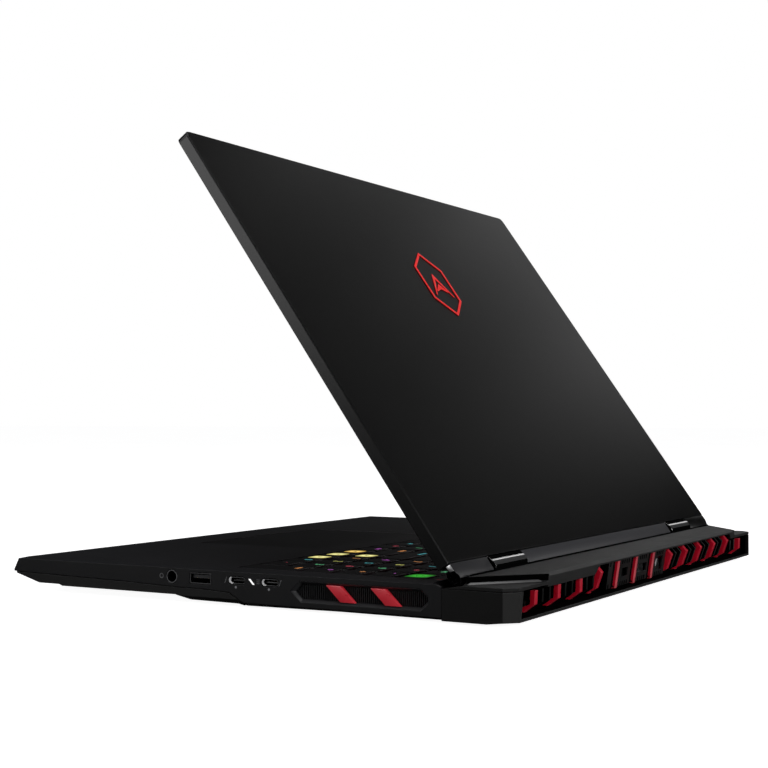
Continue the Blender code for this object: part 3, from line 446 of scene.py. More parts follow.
def frame_between(shape, axis, outer, inner, low, high):
    """Adds a closed band between two outlines with the same number of points."""
    corners = ((outer, low), (outer, high), (inner, high), (inner, low))
    verts = [[shape.verts.new(point) for point in lifted(outline, axis, level)] for outline, level in corners]
    faces = []
    for k in range(4):
        one, two = verts[k], verts[(k + 1) % 4]
        for i in range(len(one)):
            j = (i + 1) % len(one)
            faces.append(shape.faces.new((one[i], one[j], two[j], two[i])))
    bmesh.ops.recalc_face_normals(shape, faces=faces)


def hoop(shape, centre, outer, inner, low, high, sides=24):
    """Adds a round band that stands along X."""
    frame_between(shape, "X", circle(centre, outer, sides), circle(centre, inner, sides), low, high)


def between_depths(side, deep, shallow):
    """Low and high x of what lies between two depths behind the right or left wall."""
    return sorted((side * (HALF_W - deep), side * (HALF_W - shallow)))


def soften(shape, width, segments=2):
    """Bevels every edge that turns by more than 30 degrees."""
    limit = math.radians(30)
    sharp = [edge for edge in shape.edges if len(edge.link_faces) == 2 and edge.calc_face_angle(0) > limit]
    bmesh.ops.bevel(shape, geom=sharp, offset=width, segments=segments, profile=0.6, affect="EDGES",
                    clamp_overlap=True)


def add_object(name, data):
    """Puts an object in the scene."""
    obj = bpy.data.objects.new(name, data)
    bpy.context.scene.collection.objects.link(obj)
    return obj


def new_piece(name, body, slot, shape, material=None, replaces=(), on_lid=False, more=(), smooth=32):
    """Makes the shape an object that rides on a body, with the slot's finish unless another is given.

    More finishes take the numbers from 1 up. Faces that meet at less than the smooth angle are shaded as one."""
    mesh = bpy.data.meshes.new(name)
    shape.to_mesh(mesh)
    shape.free()
    if on_lid:
        mesh.transform(LID_PLACE)
    mesh.transform(Matrix.Scale(MM, 4))
    for one in [material or FINISHES[slot], *more]:
        mesh.materials.append(one)
    mesh.shade_smooth()
    mesh.set_sharp_from_angle(angle=math.radians(smooth))
    obj = add_object(name, mesh)
    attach(obj, body)
    if replaces:
        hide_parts(*replaces)


def new_prism(name, slot, axis, outline, low, high, material=None, on_lid=False):
    """Makes one prism a piece of the base or the lid."""
    shape = bmesh.new()
    prism(shape, axis, outline, low, high)
    new_piece(name, "lid" if on_lid else "base", slot, shape, material, on_lid=on_lid)


def copy_of(node, flat_joined=True):
    """The CAD node's own shape in millimetres, with its flat faces joined up again."""
    source = frame["nodes"][node]
    shape = bmesh.new()
    shape.from_mesh(source.data)
    shape.transform(Matrix.Scale(1 / MM, 4) @ source.matrix_world)
    bmesh.ops.remove_doubles(shape, verts=shape.verts, dist=0.01)
    if flat_joined:
        bmesh.ops.dissolve_limit(shape, angle_limit=math.radians(1), verts=shape.verts, edges=shape.edges)
    return shape


def finished(shape, rule, finishes):
    """Gives each face the one of the finishes that the rule picks from its normal and middle, None for the slot's."""
    for face in shape.faces:
        picked = rule(face.normal, face.calc_center_median())
        face.material_index = finishes.index(picked) + 1 if picked else 0


def rework(node, width, rule, finishes):
    """Replaces a CAD node with a copy with soft edges, with finishes by face."""
    shape = copy_of(node)
    finished(shape, rule, finishes)
    if width:
        soften(shape, width)
    new_piece(node + "_soft", BODY_OF[node], SLOT_OF[node], shape, replaces=[node], more=finishes)


def refinish(node, rule, finishes, sunk=0.0):
    """Replaces a CAD node with a plain copy, with finishes by face, narrower by twice the sunk depth."""
    shape = copy_of(node, flat_joined=False)
    shape.transform(Matrix.Diagonal((1 - sunk / HALF_W, 1, 1, 1)))
    finished(shape, rule, finishes)
    new_piece(node + "_skin", BODY_OF[node], SLOT_OF[node], shape, replaces=[node], more=finishes, smooth=5)


# ---------------------------------------------------------------- studio

def camera():
    """The view of the right side and rear from a little above the deck."""
    data = bpy.data.cameras.new("camera")
    data.lens, data.sensor_width = CAMERA_LENS, CAMERA_SENSOR
    data.clip_start, data.clip_end = 0.01, 50.0
    obj = add_object("camera", data)
    obj.location = CAMERA_AT
    obj.rotation_euler = (math.radians(90 + CAMERA_TILT), 0, math.radians(180 - CAMERA_TURN))
    bpy.context.scene.camera = obj


def softbox(name, place, target, size, power):
    """A rectangular lamp at place that faces the target."""
    data = bpy.data.lights.new(name, "AREA")
    data.shape = "RECTANGLE"
    data.size, data.size_y = size
    data.energy = power
    obj = add_object(name, data)
    obj.location = place
    obj.rotation_euler = (Vector(target) - Vector(place)).to_track_quat("-Z", "Y").to_euler()


def studio():
    """Surroundings that look white but light little, soft light from a few boxes, and a pale floor."""
    bpy.context.scene.view_settings.view_transform = "Standard"
    world = bpy.data.worlds.new("studio")
    bpy.context.scene.world = world
    world.use_nodes = True
    nodes, links = world.node_tree.nodes, world.node_tree.links
    seen, lit = nodes["Background"], nodes.new("ShaderNodeBackground")
    seen.inputs["Color"].default_value = (1, 1, 1, 1)
    height, rise, tint = (nodes.new("ShaderNode" + kind) for kind in ("SeparateXYZ", "MapRange", "Mix"))
    links.new(nodes.new("ShaderNodeTexCoord").outputs["Generated"], height.inputs[0])
    links.new(height.outputs["Z"], rise.inputs["Value"])
    rise.inputs["From Min"].default_value, rise.inputs["From Max"].default_value = 0.85, 1.0
    tint.data_type = "RGBA"
    links.new(rise.outputs["Result"], tint.inputs[0])
    tint.inputs[6].default_value, tint.inputs[7].default_value = (*BELOW, 1), (*ABOVE, 1)
    links.new(tint.outputs[2], lit.inputs["Color"])
    mix, path = nodes.new("ShaderNodeMixShader"), nodes.new("ShaderNodeLightPath")
    links.new(path.outputs["Is Camera Ray"], mix.inputs[0])
    links.new(lit.outputs[0], mix.inputs[1])
    links.new(seen.outputs[0], mix.inputs[2])
    links.new(mix.outputs[0], nodes["World Output"].inputs["Surface"])
    for light in SOFTBOXES:
        softbox(*light)


def pale_floor():
    """A floor that glows faintly but throws no light on the laptop."""
    floor = bmesh.new()
    bmesh.ops.create_grid(floor, x_segments=1, y_segments=1, size=12)
    mesh = bpy.data.meshes.new("floor")
    floor.to_mesh(mesh)
    floor.free()
    obj = add_object("floor", mesh)
    obj.visible_diffuse = obj.visible_glossy = False
    pale = Finish("floor", (0.85, 0.85, 0.85), 0.7, specular=0.2)
    tint = pale.blend(pale.noise(300.0, 3.0), (0.84, 0.84, 0.84), (0.88, 0.88, 0.88))
    pale.glow(tint, 1.1)
    mesh.materials.append(pale.use(tint))


# ---------------------------------------------------------------- CAD pieces that stay

def dress_cad():
    """Gives each CAD node its slot's finish."""
    for subpart in frame["record"]["subparts"]:
        materials = frame["nodes"][subpart["node"]].data.materials
        materials.clear()
        materials.append(FINISHES[subpart["material_slot"]])


# ---------------------------------------------------------------- keyboard

def cap_box(column, row, units=1.0, rows=1.0):
    """Plan of a keycap: its left, front, right and rear."""
    left = (column - COLUMNS / 2) * KEY_PITCH + KEY_GAP / 2
    if row == FUNCTION_ROW:
        front, depth = FUNCTION_LOW.y, FUNCTION_HIGH.y - FUNCTION_LOW.y
    else:
        front, depth = GRID_FRONT + ROW_PITCH * row, ROW_PITCH * rows - KEY_GAP
    return left, front, left + units * KEY_PITCH - KEY_GAP, front + depth


def keycap(shape, plan):
    """Keycap with round corners, drawn-in sides and a slightly dished top."""
    x0, y0, x1, y1 = plan
    levels = []
    for inset, z, radius in ((0.0, KEY_BOTTOM, 1.2), (0.15, KEY_TOP - 0.5, 1.3), (0.45, KEY_TOP - 0.12, 1.4),
                             (0.95, KEY_TOP, 1.4), (2.6, KEY_TOP - 0.08, 1.4)):
        outline = rounded((x0 + inset, y0 + inset), (x1 - inset, y1 - inset), radius)
        levels.append([(x, y, z) for x, y in outline])
    rings(shape, levels)


def glyph(shape, text, place, size, number):
    """Adds raised lettering, with its lower left corner at place."""
    curve = bpy.data.curves.new("glyph", "FONT")
    curve.body, curve.size, curve.extrude, curve.resolution_u = text, size, 0.03, 2
    holder = bpy.data.objects.new("glyph", curve)
    mesh = bpy.data.meshes.new_from_object(holder)
    mesh.transform(Matrix.Translation(place))
    before = len(shape.faces)
    shape.from_mesh(mesh)
    shape.faces.ensure_lookup_table()
    for face in shape.faces[before:]:
        face.material_index = number
    bpy.data.objects.remove(holder)
    bpy.data.curves.remove(curve)
    bpy.data.meshes.remove(mesh)


def legend_colour(column, row):
    """Number of a legend's finish; the colours run across the keyboard in slanted stripes."""
    return (column * 2 + row * 3) % len(LEGENDS)


def lettered(shape, plan, text, colour):
    """A key's legend at its top left corner."""
    size = 7.0 if len(text) == 1 else 4.4
    x, y = plan[0] + 3.0, plan[3] - 2.6 - size * 0.72
    glyph(shape, text, (x, y, KEY_TOP - 0.03), size, colour + 1)


def key_row(node, row, column, keys):
    """One body's keycaps, joined by a bar underneath. Keys are (legend, width in key widths)."""
    shape = bmesh.new()
    plans = []
    for text, units in keys:
        plans.append((cap_box(column, row, units), text, round(column)))
        column += units
    for plan, _, _ in plans:
        keycap(shape, plan)
    first, last = plans[0][0], plans[-1][0]
    y = (first[1] + first[3]) / 2
    block(shape, (first[0] + 3, y - 2, BAR_LOW), (last[2] - 3, y + 2, BAR_HIGH))
    for plan, text, place in plans:
        if text:
            lettered(shape, plan, text, legend_colour(place, row))
    new_piece(node + "_caps", node, "key_plastic", shape, replaces=[node], more=LEGENDS)


def number_pad():
    """The number pad's caps, joined by a bar underneath, and its tall enter key."""
    shape = bmesh.new()
    rows = ((1, "0."), (0, "123"), (0, "456+"), (0, "789+"), (0, "#/*-"))
    keys = [(PAD_COLUMN + first + place, row, text) for row, (first, texts) in enumerate(rows)
            for place, text in enumerate(texts)]
    for column, row, _ in keys:
        keycap(shape, cap_box(column, row))
    x = (PAD_COLUMN + 1.5 - COLUMNS / 2) * KEY_PITCH
    block(shape, (x - 2, GRID_FRONT + 5, BAR_LOW), (x + 2, PAD_REAR - 5, BAR_HIGH))
    for column, row, text in keys:
        lettered(shape, cap_box(column, row), text, legend_colour(column, row))
    new_piece("number_pad_caps", "number_pad_keys", "key_plastic", shape, replaces=["number_pad_keys"], more=LEGENDS)
    shape = bmesh.new()
    plan = cap_box(COLUMNS - 1, 0, rows=2)
    keycap(shape, plan)
    lettered(shape, plan, "ent", 3)
    new_piece("number_pad_enter_cap", "number_pad_enter_key", "key_plastic", shape,
              replaces=["number_pad_enter_key"], more=LEGENDS)


def lit_key(node, plan, share, colour, centre, strength, mark):
    """Keycap with a lit window in its middle and a dark mark on the window."""
    shape = bmesh.new()
    keycap(shape, plan)
    x, y = (plan[0] + plan[2]) / 2, (plan[1] + plan[3]) / 2
    reach = [(plan[2] - plan[0]) / 2 * share, (plan[3] - plan[1]) / 2 * share]
    before = len(shape.faces)
    window = rounded((x - reach[0], y - reach[1]), (x + reach[0], y + reach[1]), 1.8, 5)
    prism(shape, "Z", window, KEY_TOP - 0.4, KEY_TOP - 0.02)
    middle = len(shape.faces)
    mark(shape, x, y)
    shape.faces.ensure_lookup_table()
    for number, face in enumerate(shape.faces):
        face.material_index = 0 if number < before else 1 if number < middle else 2
    material = glowing("lit_" + node, colour, strength, centre)
    new_piece(node + "_cap", node, "lit_key_plastic", shape, material=FINISHES["key_plastic"], replaces=[node],
              more=[material, FINISHES["black_plastic"]])


def arrow_mark(turn):
    """Draws a triangle that points this many degrees from +X."""
    def mark(shape, x, y):
        outline = []
        for angle, reach in ((0, 1.9), (130, 1.7), (230, 1.7)):
            a = math.radians(angle + turn)
            outline.append((x + reach * math.cos(a), y + reach * math.sin(a)))
        prism(shape, "Z", outline, KEY_TOP - 0.1, KEY_TOP)
    return mark


def power_mark(shape, x, y):
    ring = arc((x, y), 2.2, -240, 60, 16) + arc((x, y), 1.7, 60, -240, 16)
    prism(shape, "Z", ring, KEY_TOP - 0.1, KEY_TOP)
    block(shape, (x - 0.25, y + 0.6, KEY_TOP - 0.1), (x + 0.25, y + 2.8, KEY_TOP))


def keyboard():
    """Every keycap. Row 0 is the one with the space bar."""
    def plain(texts):
        return [(text, 1.0) for text in texts]

    functions = [f"F{number}" for number in range(1, 13)]
    key_row("function_key_row", FUNCTION_ROW, 0, plain(["esc", *functions, "prt", "del", "hom", "end", "pg"]))
    key_row("number_key_row", 4, 0, [*plain("`1234567890-="), ("back", 2.0)])
    key_row("upper_key_row", 3, 0, [("tab", 1.5), *plain("QWERTYUIOP[]"), ("\\", 1.5)])
    key_row("home_key_row", 2, 0, [("caps", 1.75), *plain("ASDFGHJKL;'"), ("enter", 2.25)])
    key_row("lower_key_row", 1, 0, [("shift", 2.25), *plain("ZXCVBNM,./"), ("shift", 1.75)])
    key_row("bottom_key_row", 0, 0, [("ctrl", 1.25), *plain(["fn", ""]), ("alt", 1.25)])
    key_row("space_bar", 0, 4.5, [("", 5.5)])
    key_row("right_modifier_keys", 0, 10, plain(["alt", "fn", "ctrl"]))
    number_pad()
    yellow, pale, orange = (1.0, 0.80, 0.05), (1.0, 0.97, 0.42), (1.0, 0.50, 0.03)
    for node, column, row, turn, colour, centre in (
        ("arrow_left_key", 13, 0, 180, orange, (1.0, 0.72, 0.20)), ("arrow_down_key", 14, 0, 270, yellow, pale),
        ("arrow_right_key", 15, 0, 0, yellow, pale), ("arrow_up_key", 14, 1, 90, yellow, pale),
    ):
        lit_key(node, cap_box(column, row), 0.64, colour, centre, 1.0, arrow_mark(turn))
    lit_key("power_key", cap_box(COLUMNS - 1, FUNCTION_ROW), 0.80, (0.03, 0.40, 0.03), (0.06, 0.62, 0.05), 0.8,
            power_mark)


# ---------------------------------------------------------------- right and left sides

def side_vent(side):
    """Hexagonal grille: a frame with a slanted mouth, paler on its slanted faces as a painted highlight, and close
    upright fins behind it.
    """
    name = "side_vent_" + SIDES[side]
    (_, y0, z0), (_, y1, z1) = box_of(name)
    outline = [(y0, 10.2), (y0 + 4.7, z1), (y1 - 3.9, z1), (y1, 11.8), (y1, 9.0), (y1 - 3.9, z0), (y0 + 5.2, z0)]
    mouth, throat = grown(outline, 0.2), grown(outline, -1.1)
    shape = bmesh.new()
    levels = ((mouth, 4.4), (mouth, 0.15), (throat, 1.9), (throat, 4.4))
    rings(shape, [[(side * (HALF_W - depth), y, z) for y, z in ring] for ring, depth in levels], closed=False)
    soften(shape, 0.2)

    def mouth_rule(normal, centre):
        return VENT_EDGE_PAINTED_HIGHLIGHT if 0.1 < abs(normal.x) < 0.97 and abs(centre.x) > HALF_W - 2 else None

    finished(shape, mouth_rule, [VENT_EDGE_PAINTED_HIGHLIGHT])
    new_piece(name + "_frame", "base", "deck_metal", shape, replaces=[name], more=[VENT_EDGE_PAINTED_HIGHLIGHT])
    fins = bmesh.new()
    pitch, thick = 1.06, 0.5
    for fin in range(int((y1 - y0 - 3) / pitch)):
        y = y0 + 2 + pitch * fin
        lean_in = max(0.0, (y0 + 5.6 - y) * 0.9, (y - y1 + 4.6) * 0.85)  # shorter towards the slanted ends
        near, far = between_depths(side, 4.2, 2.7)
        block(fins, (near, y, z0 + 0.6 + lean_in), (far, y + thick, z1 - 0.6 - lean_in))
    for face in fins.faces:
        face.material_index = int(abs(face.normal.x) > 0.9)
    near, far = between_depths(side, 4.4, 4.2)
    block(fins, (near, y0 + 2, z0 + 2), (far, y1 - 2, z1 - 2))
    new_piece(name + "_fins", "base", "black_plastic", fins, more=[FINISHES["deck_metal"]])


def side_slashes(side):
    """Two slanted red bars across the grille, with bevelled faces."""
    name = "side_slashes_" + SIDES[side]
    low, high = box_of(name)
    slant, wide = 8.2, 8.4
    shape = bmesh.new()
    for y in (low.y, high.y - slant - wide):
        outline = [(y, high.z), (y + wide, high.z), (y + slant + wide, low.z), (y + slant, low.z)]
        prism(shape, "X", outline, *between_depths(side, 2.5, 0.4))
    soften(shape, 0.5)
    new_piece(name + "_bars", "base", "red_plastic", shape, material=SLASH_RED, replaces=[name])


def contacts(name, places, size):
    """Equal gold boxes at these places, as one piece of the base."""
    shape = bmesh.new()
    for place in places:
        block(shape, [middle - length / 2 for middle, length in zip(place, size)],
              [middle + length / 2 for middle, length in zip(place, size)])
    new_piece(name, "base", "steel", shape, material=GOLD)


def walls():
    """Painted light on the deck's top, painted shade on the walls, which are darker than the rest of their shells, and
    a black floor and back of painted shade under the ribs.
    """
    def deck_rule(normal, centre):
        return DECK_TOP_PAINTED_LIGHT if normal.z > 0.7 and centre.z > KEY_BOTTOM else None

    def wall_rule(normal, centre):
        return SIDE_WALL_PAINTED_SHADE if abs(normal.x) > 0.9 else None

    def shell_rule(normal, centre):
        floor, back = normal.z > 0.5 and centre.z < 8, normal.y < -0.5 and centre.y > 130
        if floor or back:
            return PAINTED_SHADE_BLACK
        return SHELL_WALL_PAINTED_SHADE if abs(normal.x) > 0.9 else None

    refinish("top_cover", deck_rule, [DECK_TOP_PAINTED_LIGHT], 0.06)
    refinish("bottom_cover", wall_rule, [SIDE_WALL_PAINTED_SHADE])
    refinish("rear_shell", shell_rule, [SHELL_WALL_PAINTED_SHADE, PAINTED_SHADE_BLACK])


def side_sockets():
    """The sockets in the right wall, black inside with painted shade, with contacts, white crescents on the USB-C lips
    as painted highlights, and the marks and lamps beside them.
    """
    # Faces that don't face out, or lie deep in a socket, get painted shade
    def socket_rule(normal, centre):
        if normal.x < 0.9 or centre.x < HALF_W - 4:
            return PAINTED_SHADE_BLACK
        return DARK_STEEL if centre.x < HALF_W - 0.5 else RIM_STEEL

    finishes = [PAINTED_SHADE_BLACK, DARK_STEEL, RIM_STEEL]
    for node in ("usb_a_port", "usb_c_port_front", "usb_c_port_rear"):
        rework(node, 0, socket_rule, finishes)
    rework("audio_jack", 0, lambda normal, centre: PAINTED_SHADE_BLACK, finishes)
    centre, pitch = middle_of("usb_a_port"), 2.4
    places = [(HALF_W - 5, centre.y + pitch * (k - 1.5), centre.z - 0.1) for k in range(4)]
    contacts("usb_a_contacts", places, (6.0, 1.0, 0.12))
    for node in ("usb_c_port_front", "usb_c_port_rear"):
        centre, pitch = middle_of(node), 0.5
        places = [(HALF_W - 4, centre.y + pitch * (k - 5.5), centre.z + up) for k in range(12) for up in (-0.36, 0.36)]
        contacts(node + "_contacts", places, (4.0, 0.26, 0.06))
        # A white crescent on the lip's front end is a painted highlight
        tip = (centre.y - 3.2, centre.z)
        crescent = arc(tip, 1.72, 110, 290, 12) + arc(tip, 1.15, 290, 110, 12)
        new_prism(node + "_lip", "steel", "X", crescent, HALF_W - 1, HALF_W - 0.05, PAINTED_GLINT_WHITE)
        dot = circle((centre.y - 0.8, centre.z - 3.3), 0.6, 14)
        new_prism(node + "_lamp", "lit_key_plastic", "X", dot, HALF_W - 0.6, HALF_W, LED)
    jack = middle_of("audio_jack").yz
    spring = bmesh.new()
    hoop(spring, jack, 1.6, 1.2, HALF_W - 9, HALF_W - 6, 20)
    new_piece("audio_jack_spring", "base", "steel", spring, material=GOLD)
    # Marks: a small ring in front of the jack and one round it, two slanted ticks, and three bars
    on_wall = (HALF_W - 0.2, HALF_W)
    marks = bmesh.new()
    hoop(marks, (jack[0] - 6.5, jack[1] + 0.1), 1.3, 0.85, *on_wall, 18)
    hoop(marks, jack, 3.3, 2.9, *on_wall)
    for y, z in ((-7.6, 13.7), (24.6, 13.7)):
        tick = [(y - 0.9, z - 1.5), (y - 0.4, z - 1.5), (y + 0.9, z + 1.5), (y + 0.4, z + 1.5)]
        prism(marks, "X", tick, *on_wall)
    for row in range(3):
        block(marks, (on_wall[0], 10.8, 12.6 + row * 0.9), (on_wall[1], 12.6, 13.0 + row * 0.9))
    new_piece("port_marks", "base", "deck_metal", marks, material=MARK)
    bar = [(6.0, 14.9), (7.2, 14.9), (9.7, 12.2), (8.5, 12.2)]
    new_prism("charge_lamp", "lit_key_plastic", "X", bar, *on_wall, WHITE_LAMP)


# ---------------------------------------------------------------- deck

def deck_details():
    """Small red corner accent in a pale border, and a sensor dot."""
    x, y = 175.5, 104.0
    outer = [(x - 3.4, y + 2.0), (x + 3.4, y + 2.0), (x + 1.0, y - 2.2)]
    new_prism("deck_accent_border", "grey_plastic", "Z", outer, DECK_Z - 0.3, DECK_Z + 0.06, PALE_TRIM_AND_PAINTED_HIGHLIGHT)
    new_prism("deck_accent", "red_plastic", "Z", grown(outer, -0.55), DECK_Z - 0.2, DECK_Z + 0.1)
    new_prism("deck_sensor", "black_plastic", "Z", circle((175.3, 100.1), 0.7, 14), DECK_Z - 0.2, DECK_Z + 0.03)


# ---------------------------------------------------------------- rear

def leaned(verts):
    """Leans points on the port plate in towards their foot."""
    for vert in verts:
        vert.co.y -= (PLATE_TOP - vert.co.z) * PLATE_LEAN


def straighten(shape, x):
    """Makes the rib at x lean in evenly from top to foot, as the plate behind it does."""
    near = [vert for vert in shape.verts if abs(vert.co.x - x) < 3 and vert.co.z > FOOT_Z - 0.01]
    fronts = {}
    for vert in near:
        level = round(vert.co.z, 1)
        fronts[level] = max(fronts.get(level, -REAR), vert.co.y)
    for vert in near:
        vert.co.y = RIB_FRONT - (fronts[round(vert.co.z, 1)] - vert.co.y)
    leaned(near)


def ribs():
    """Rounded red ribs with painted light on their rear faces, a paler painted highlight on those between the sockets,
    and painted shade at their feet.
    """
    def rule(normal, centre):
        if centre.z < FOOT_Z:
            return PAINTED_SHADE_BLACK
        if normal.y < 0.3:
            return None
        return RED_PAINTED_HIGHLIGHT if PLATE[0] < centre.x < PLATE[1] else RED_PAINTED_LIT_FACE

    shape = copy_of("red_ribs")
    bmesh.ops.bisect_plane(shape, geom=[*shape.verts, *shape.edges, *shape.faces], plane_co=(0, 0, FOOT_Z),
                           plane_no=(0, 0, 1))
    for step in range(PORT_RIBS):
        straighten(shape, RIB_PITCH * step)
    soften(shape, 0.5, 3)
    finishes = [RED_PAINTED_LIT_FACE, PAINTED_SHADE_BLACK, RED_PAINTED_HIGHLIGHT]
    finished(shape, rule, finishes)
    new_piece("red_ribs_soft", "base", "red_plastic", shape, replaces=["red_ribs"], more=finishes)


def grille():
    """Blades and panel behind the ribs, with painted shade on faces that don't face the rear and at their feet, and
    with the plate round the sockets moved out and leaning.
    """
    def rule(normal, centre):
        if normal.y < 0.35 or centre.z < FOOT_Z:
            return PAINTED_SHADE_BLACK
        if centre.x > TEXT_PANEL_X:
            return GRILLE_DARK
        return BLADE_GREY if centre.y > REAR - 6.0 else PANEL_GREY

    finishes = [BLADE_GREY, PANEL_GREY, PAINTED_SHADE_BLACK, GRILLE_DARK]
    shape = copy_of("rear_grille")
    finished(shape, rule, finishes)
    for vert in shape.verts:
        if PLATE[0] - 0.5 < vert.co.x < PLATE[1] + 0.5 and vert.co.y > CAD_PLATE_BACK - 0.3:
            vert.co.y += PLATE_FACE - CAD_PLATE_FACE
            leaned([vert])
    soften(shape, 0.15)
    new_piece("rear_grille_soft", "base", "black_plastic", shape, replaces=["rear_grille"], more=finishes)


def port_plate():
    """Black slats of painted shade that stand for slots in the plate round the rear sockets, a surround for each
    socket, and the network socket's shield, white as a painted highlight.
    """
    low, high = 5.2, 18.9
    tall, short = ((low, high),), ((16.6, high), (low, 7.4))
    kinds = [(x, 0.8, tall) for x in (4.0, 23.4)] + [(x, 0.7, short) for x in (8.9, 12.1, 15.3, 18.5)]
    slats = bmesh.new()
    for step in range(-1, PORT_RIBS):
        for from_rib, half, spans in kinds:
            x = from_rib + RIB_PITCH * step
            if PLATE[0] + 1 < x < PLATE[1] - 1:
                for foot, top in spans:
                    block(slats, (x - half, PLATE_FACE - 0.3, foot), (x + half, PLATE_FACE + 0.1, top))
    leaned(slats.verts)
    new_piece("port_slats", "base", "black_plastic", slats, material=PAINTED_SHADE_BLACK)
    covers = bmesh.new()
    for node, hole, size in (("power_inlet", (9.6, 9.6), (8.8, 4.6)), ("hdmi_port", (16.2, 6.8), (13.8, 4.4)),
                             ("network_port", (15.0, 11.6), (11.4, 7.6))):
        x = middle_of(node).x
        loops = [[(x + right * w / 2, SOCKET_Z + up * h / 2) for right, up in ((-1, -1), (1, -1), (1, 1), (-1, 1))]
                 for w, h in ((hole[0] + 0.8, hole[1] + 0.8), size)]
        frame_between(covers, "Y", *loops, PLATE_FACE - 0.9, PLATE_FACE + 0.04)
    leaned(covers.verts)
    new_piece("port_surrounds", "base", "black_plastic", covers, material=PANEL_GREY)
    # The shield is near-white as a painted highlight
    shield = bmesh.new()
    x = middle_of("network_port").x
    block(shield, (x + 1.0, PLATE_FACE - 1.5, 10.4), (x + 5.0, PLATE_FACE - 1.1, 14.2))
    leaned(shield.verts)
    new_piece("network_shield", "base", "steel", shield, material=PAINTED_GLINT_WHITE)


def shelf():
    """The shelf's finish, a black lip of painted shade along its front, and across each rear corner a pale bead as a
    painted highlight and a black groove of painted shade.
    """
    frame["nodes"]["rear_cover"].data.materials[0] = REAR_TOP
    # The lip is a thin black strip of painted shade in the dark line between the hinge strips and the shelf
    lip = bmesh.new()
    block(lip, (-180, LIP_Y, SHELF_TOP - 0.1), (180, LIP_Y + 0.4, SHELF_TOP + 0.75))
    new_piece("shelf_lip", "base", "black_plastic", lip, material=PAINTED_SHADE_BLACK)
    # Each corner bead is a pale sliver on the ramp, a painted highlight
    foot = 17.4
    section = ((-1.2, 0.0), (-1.0, 1.1), (-0.4, 1.5), (0.3, 1.3), (0.9, 0.6), (1.2, 0.0))  # across, up
    start, end = Vector((184.8, 122.4)), Vector((153.2, 147.0))
    along = (end - start).normalized()
    across = Vector((along.y, -along.x))
    for side in (-1, 1):
        levels = []
        for point, scale in ((start, 0.2), (start + along * 2, 1.0), (end - along * 3, 1.0), (end, 0.2)):
            places = [(point + across * by * (0.4 + 0.6 * scale), foot + up * scale) for by, up in section]
            levels.append([(side * place.x, place.y, z) for place, z in places])
        bead = bmesh.new()
        rings(bead, levels)
        new_piece("corner_bead_" + SIDES[side], "base", "shell_plastic", bead, material=PALE_TRIM_AND_PAINTED_HIGHLIGHT)
        # The groove is a black wedge of painted shade at the foot of the shelf's side
        groove = [(side * 183.3, 121.5), (side * 151.5, 148.2), (side * 150.2, 148.2), (side * 182.4, 121.5)]
        new_prism("corner_groove_" + SIDES[side], "black_plastic", "Z", groove, 18.0, 21.3, PAINTED_SHADE_BLACK)


def rear_contacts():
    """A row of gold contacts across each rear socket."""
    for word, node, count, pitch, up, size, back in (
        ("network", "network_port", 8, 1.02, -2.9, (0.4, 5.0, 0.3), 5.0),
        ("hdmi", "hdmi_port", 10, 1.0, 0.0, (0.4, 4.0, 0.1), 4.2),
        ("power", "power_inlet", 3, 1.6, 0.92, (0.9, 4.5, 0.1), 4.0),
    ):
        middle, y = middle_of(node), box_of(node)[1].y - back
        places = [(middle.x + pitch * (k - (count - 1) / 2), y, middle.z + up) for k in range(count)]
        contacts(word + "_contacts", places, size)


# ---------------------------------------------------------------- lid

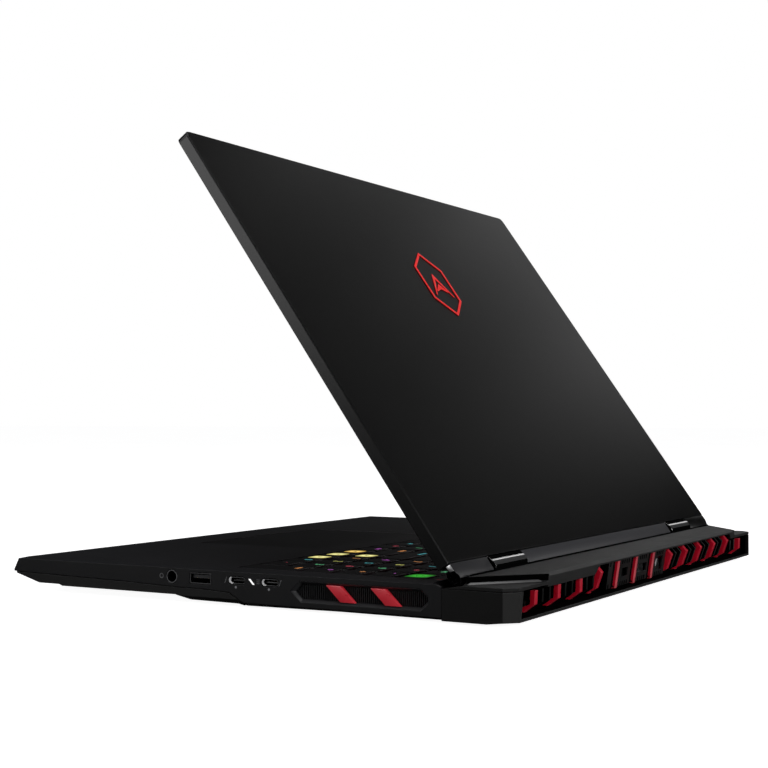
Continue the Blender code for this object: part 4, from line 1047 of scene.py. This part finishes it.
def hinges():
    """Drums painted in bands: painted shade on their ends, top and foot, a painted highlight facet along the top and
    painted lit grey below it; and the strips between them with painted shade on their ends and undersides.
    """
    corner, cut = 54.3, 0.965  # the drum's corner, in degrees up from the rear, and what the facet leaves of it

    def turn_of(y, z):
        return math.degrees(math.atan2(z - AXIS.z, y - AXIS.y))

    # Bands by angle round the axis: a painted highlight facet, painted lit grey below it, and painted shade above it,
    # on the ends and at the foot
    def drum(normal, centre):
        turn = turn_of(centre.y, centre.z)
        if abs(normal.x) > 0.8 or normal.y > 0.93 or 54 < turn < 110 or normal.z < -0.1:
            return PAINTED_SHADE_BLACK
        return DRUM_PAINTED_HIGHLIGHT if 44 < turn < 54 else DRUM_PAINTED_LIT_GREY

    # Painted shade on the strips' ends and undersides, and a darker painted shade on the near strip's faces
    def strip(normal, centre):
        if abs(normal.x) > 0.5 or normal.z < 0.05:
            return PAINTED_SHADE_BLACK
        return STRIP_SHADE if centre.x > 149 else None

    finishes = [PAINTED_SHADE_BLACK, DRUM_PAINTED_HIGHLIGHT, DRUM_PAINTED_LIT_GREY]
    for node in ("hinge_cover_right", "hinge_cover_left"):
        shape = copy_of(node)
        for vert in shape.verts:
            out = Vector((vert.co.y - AXIS.y, vert.co.z - AXIS.z))
            if out.length > 6 and abs(turn_of(vert.co.y, vert.co.z) - corner) < 2:
                vert.co.y, vert.co.z = AXIS.y + out.x * cut, AXIS.z + out.y * cut
        shape.normal_update()
        finished(shape, drum, finishes)
        soften(shape, 0.2)
        new_piece(node + "_soft", "base", "hinge_metal", shape, replaces=[node], more=finishes, smooth=8)
    for node in ("hinge_strip_right", "hinge_strip_left", "hinge_strip_center"):
        rework(node, 0.25, strip, [PAINTED_SHADE_BLACK, STRIP_SHADE])
    for side in (-1, 1):
        cap = bmesh.new()
        prism(cap, "X", [(-3.9, 3.2), (-3.9, 5.7), (-0.4, 5.7), (-1.0, 3.6)], *between_depths(side, 2.7, 1.1))
        soften(cap, 0.4)
        new_piece("strip_end_" + SIDES[side], "lid", "hinge_metal", cap, material=END_STEEL, on_lid=True)


def lid_details():
    """Emblem's chevrons, web camera and microphones."""
    centre = LID_IN @ middle_of("lid_emblem")
    top = centre.z + 0.15
    thick = 2.4
    shape = bmesh.new()
    for reach, back in ((13.0, 0.0), (8.0, 4.0)):
        for side in (-1, 1):
            tip = (centre.x, centre.y + 2 - reach * 0.75 + back)
            wing = (centre.x + side * reach * 0.85, centre.y + reach * 0.65)
            prism(shape, "Z", [tip, (tip[0], tip[1] + thick * 1.6), (wing[0], wing[1] + thick * 0.4), wing],
                  top - 0.3, top)
    soften(shape, 0.05, 1)
    new_piece("lid_emblem_chevrons", "lid", "red_plastic", shape, material=EMBLEM_RED_PAINTED_GLOW, on_lid=True)
    frame["nodes"]["lid_emblem"].data.materials[0] = EMBLEM_RED_PAINTED_GLOW
    corners = [LID_IN @ (vert.co / MM) for vert in frame["nodes"]["screen_bezel"].data.vertices]
    face = min(corner.z for corner in corners)
    span = (face - 0.04, face + 0.3)
    lens_y = min(corner.y for corner in corners) + 3.4
    new_prism("camera_lens", "screen_glass", "Z", circle((0, lens_y), 1.6, 20), *span, LENS, on_lid=True)
    holes = bmesh.new()
    for x in (-9.0, 9.0):
        prism(holes, "Z", circle((x, lens_y), 0.5, 12), *span)
    new_piece("microphone_holes", "lid", "black_plastic", holes, material=MARK, on_lid=True)


# ---------------------------------------------------------------- build

camera()
studio()
pale_floor()
dress_cad()
keyboard()
for side in (1, -1):
    side_vent(side)
    side_slashes(side)
walls()
side_sockets()
deck_details()
ribs()
grille()
port_plate()
shelf()
rear_contacts()
hinges()
lid_details()
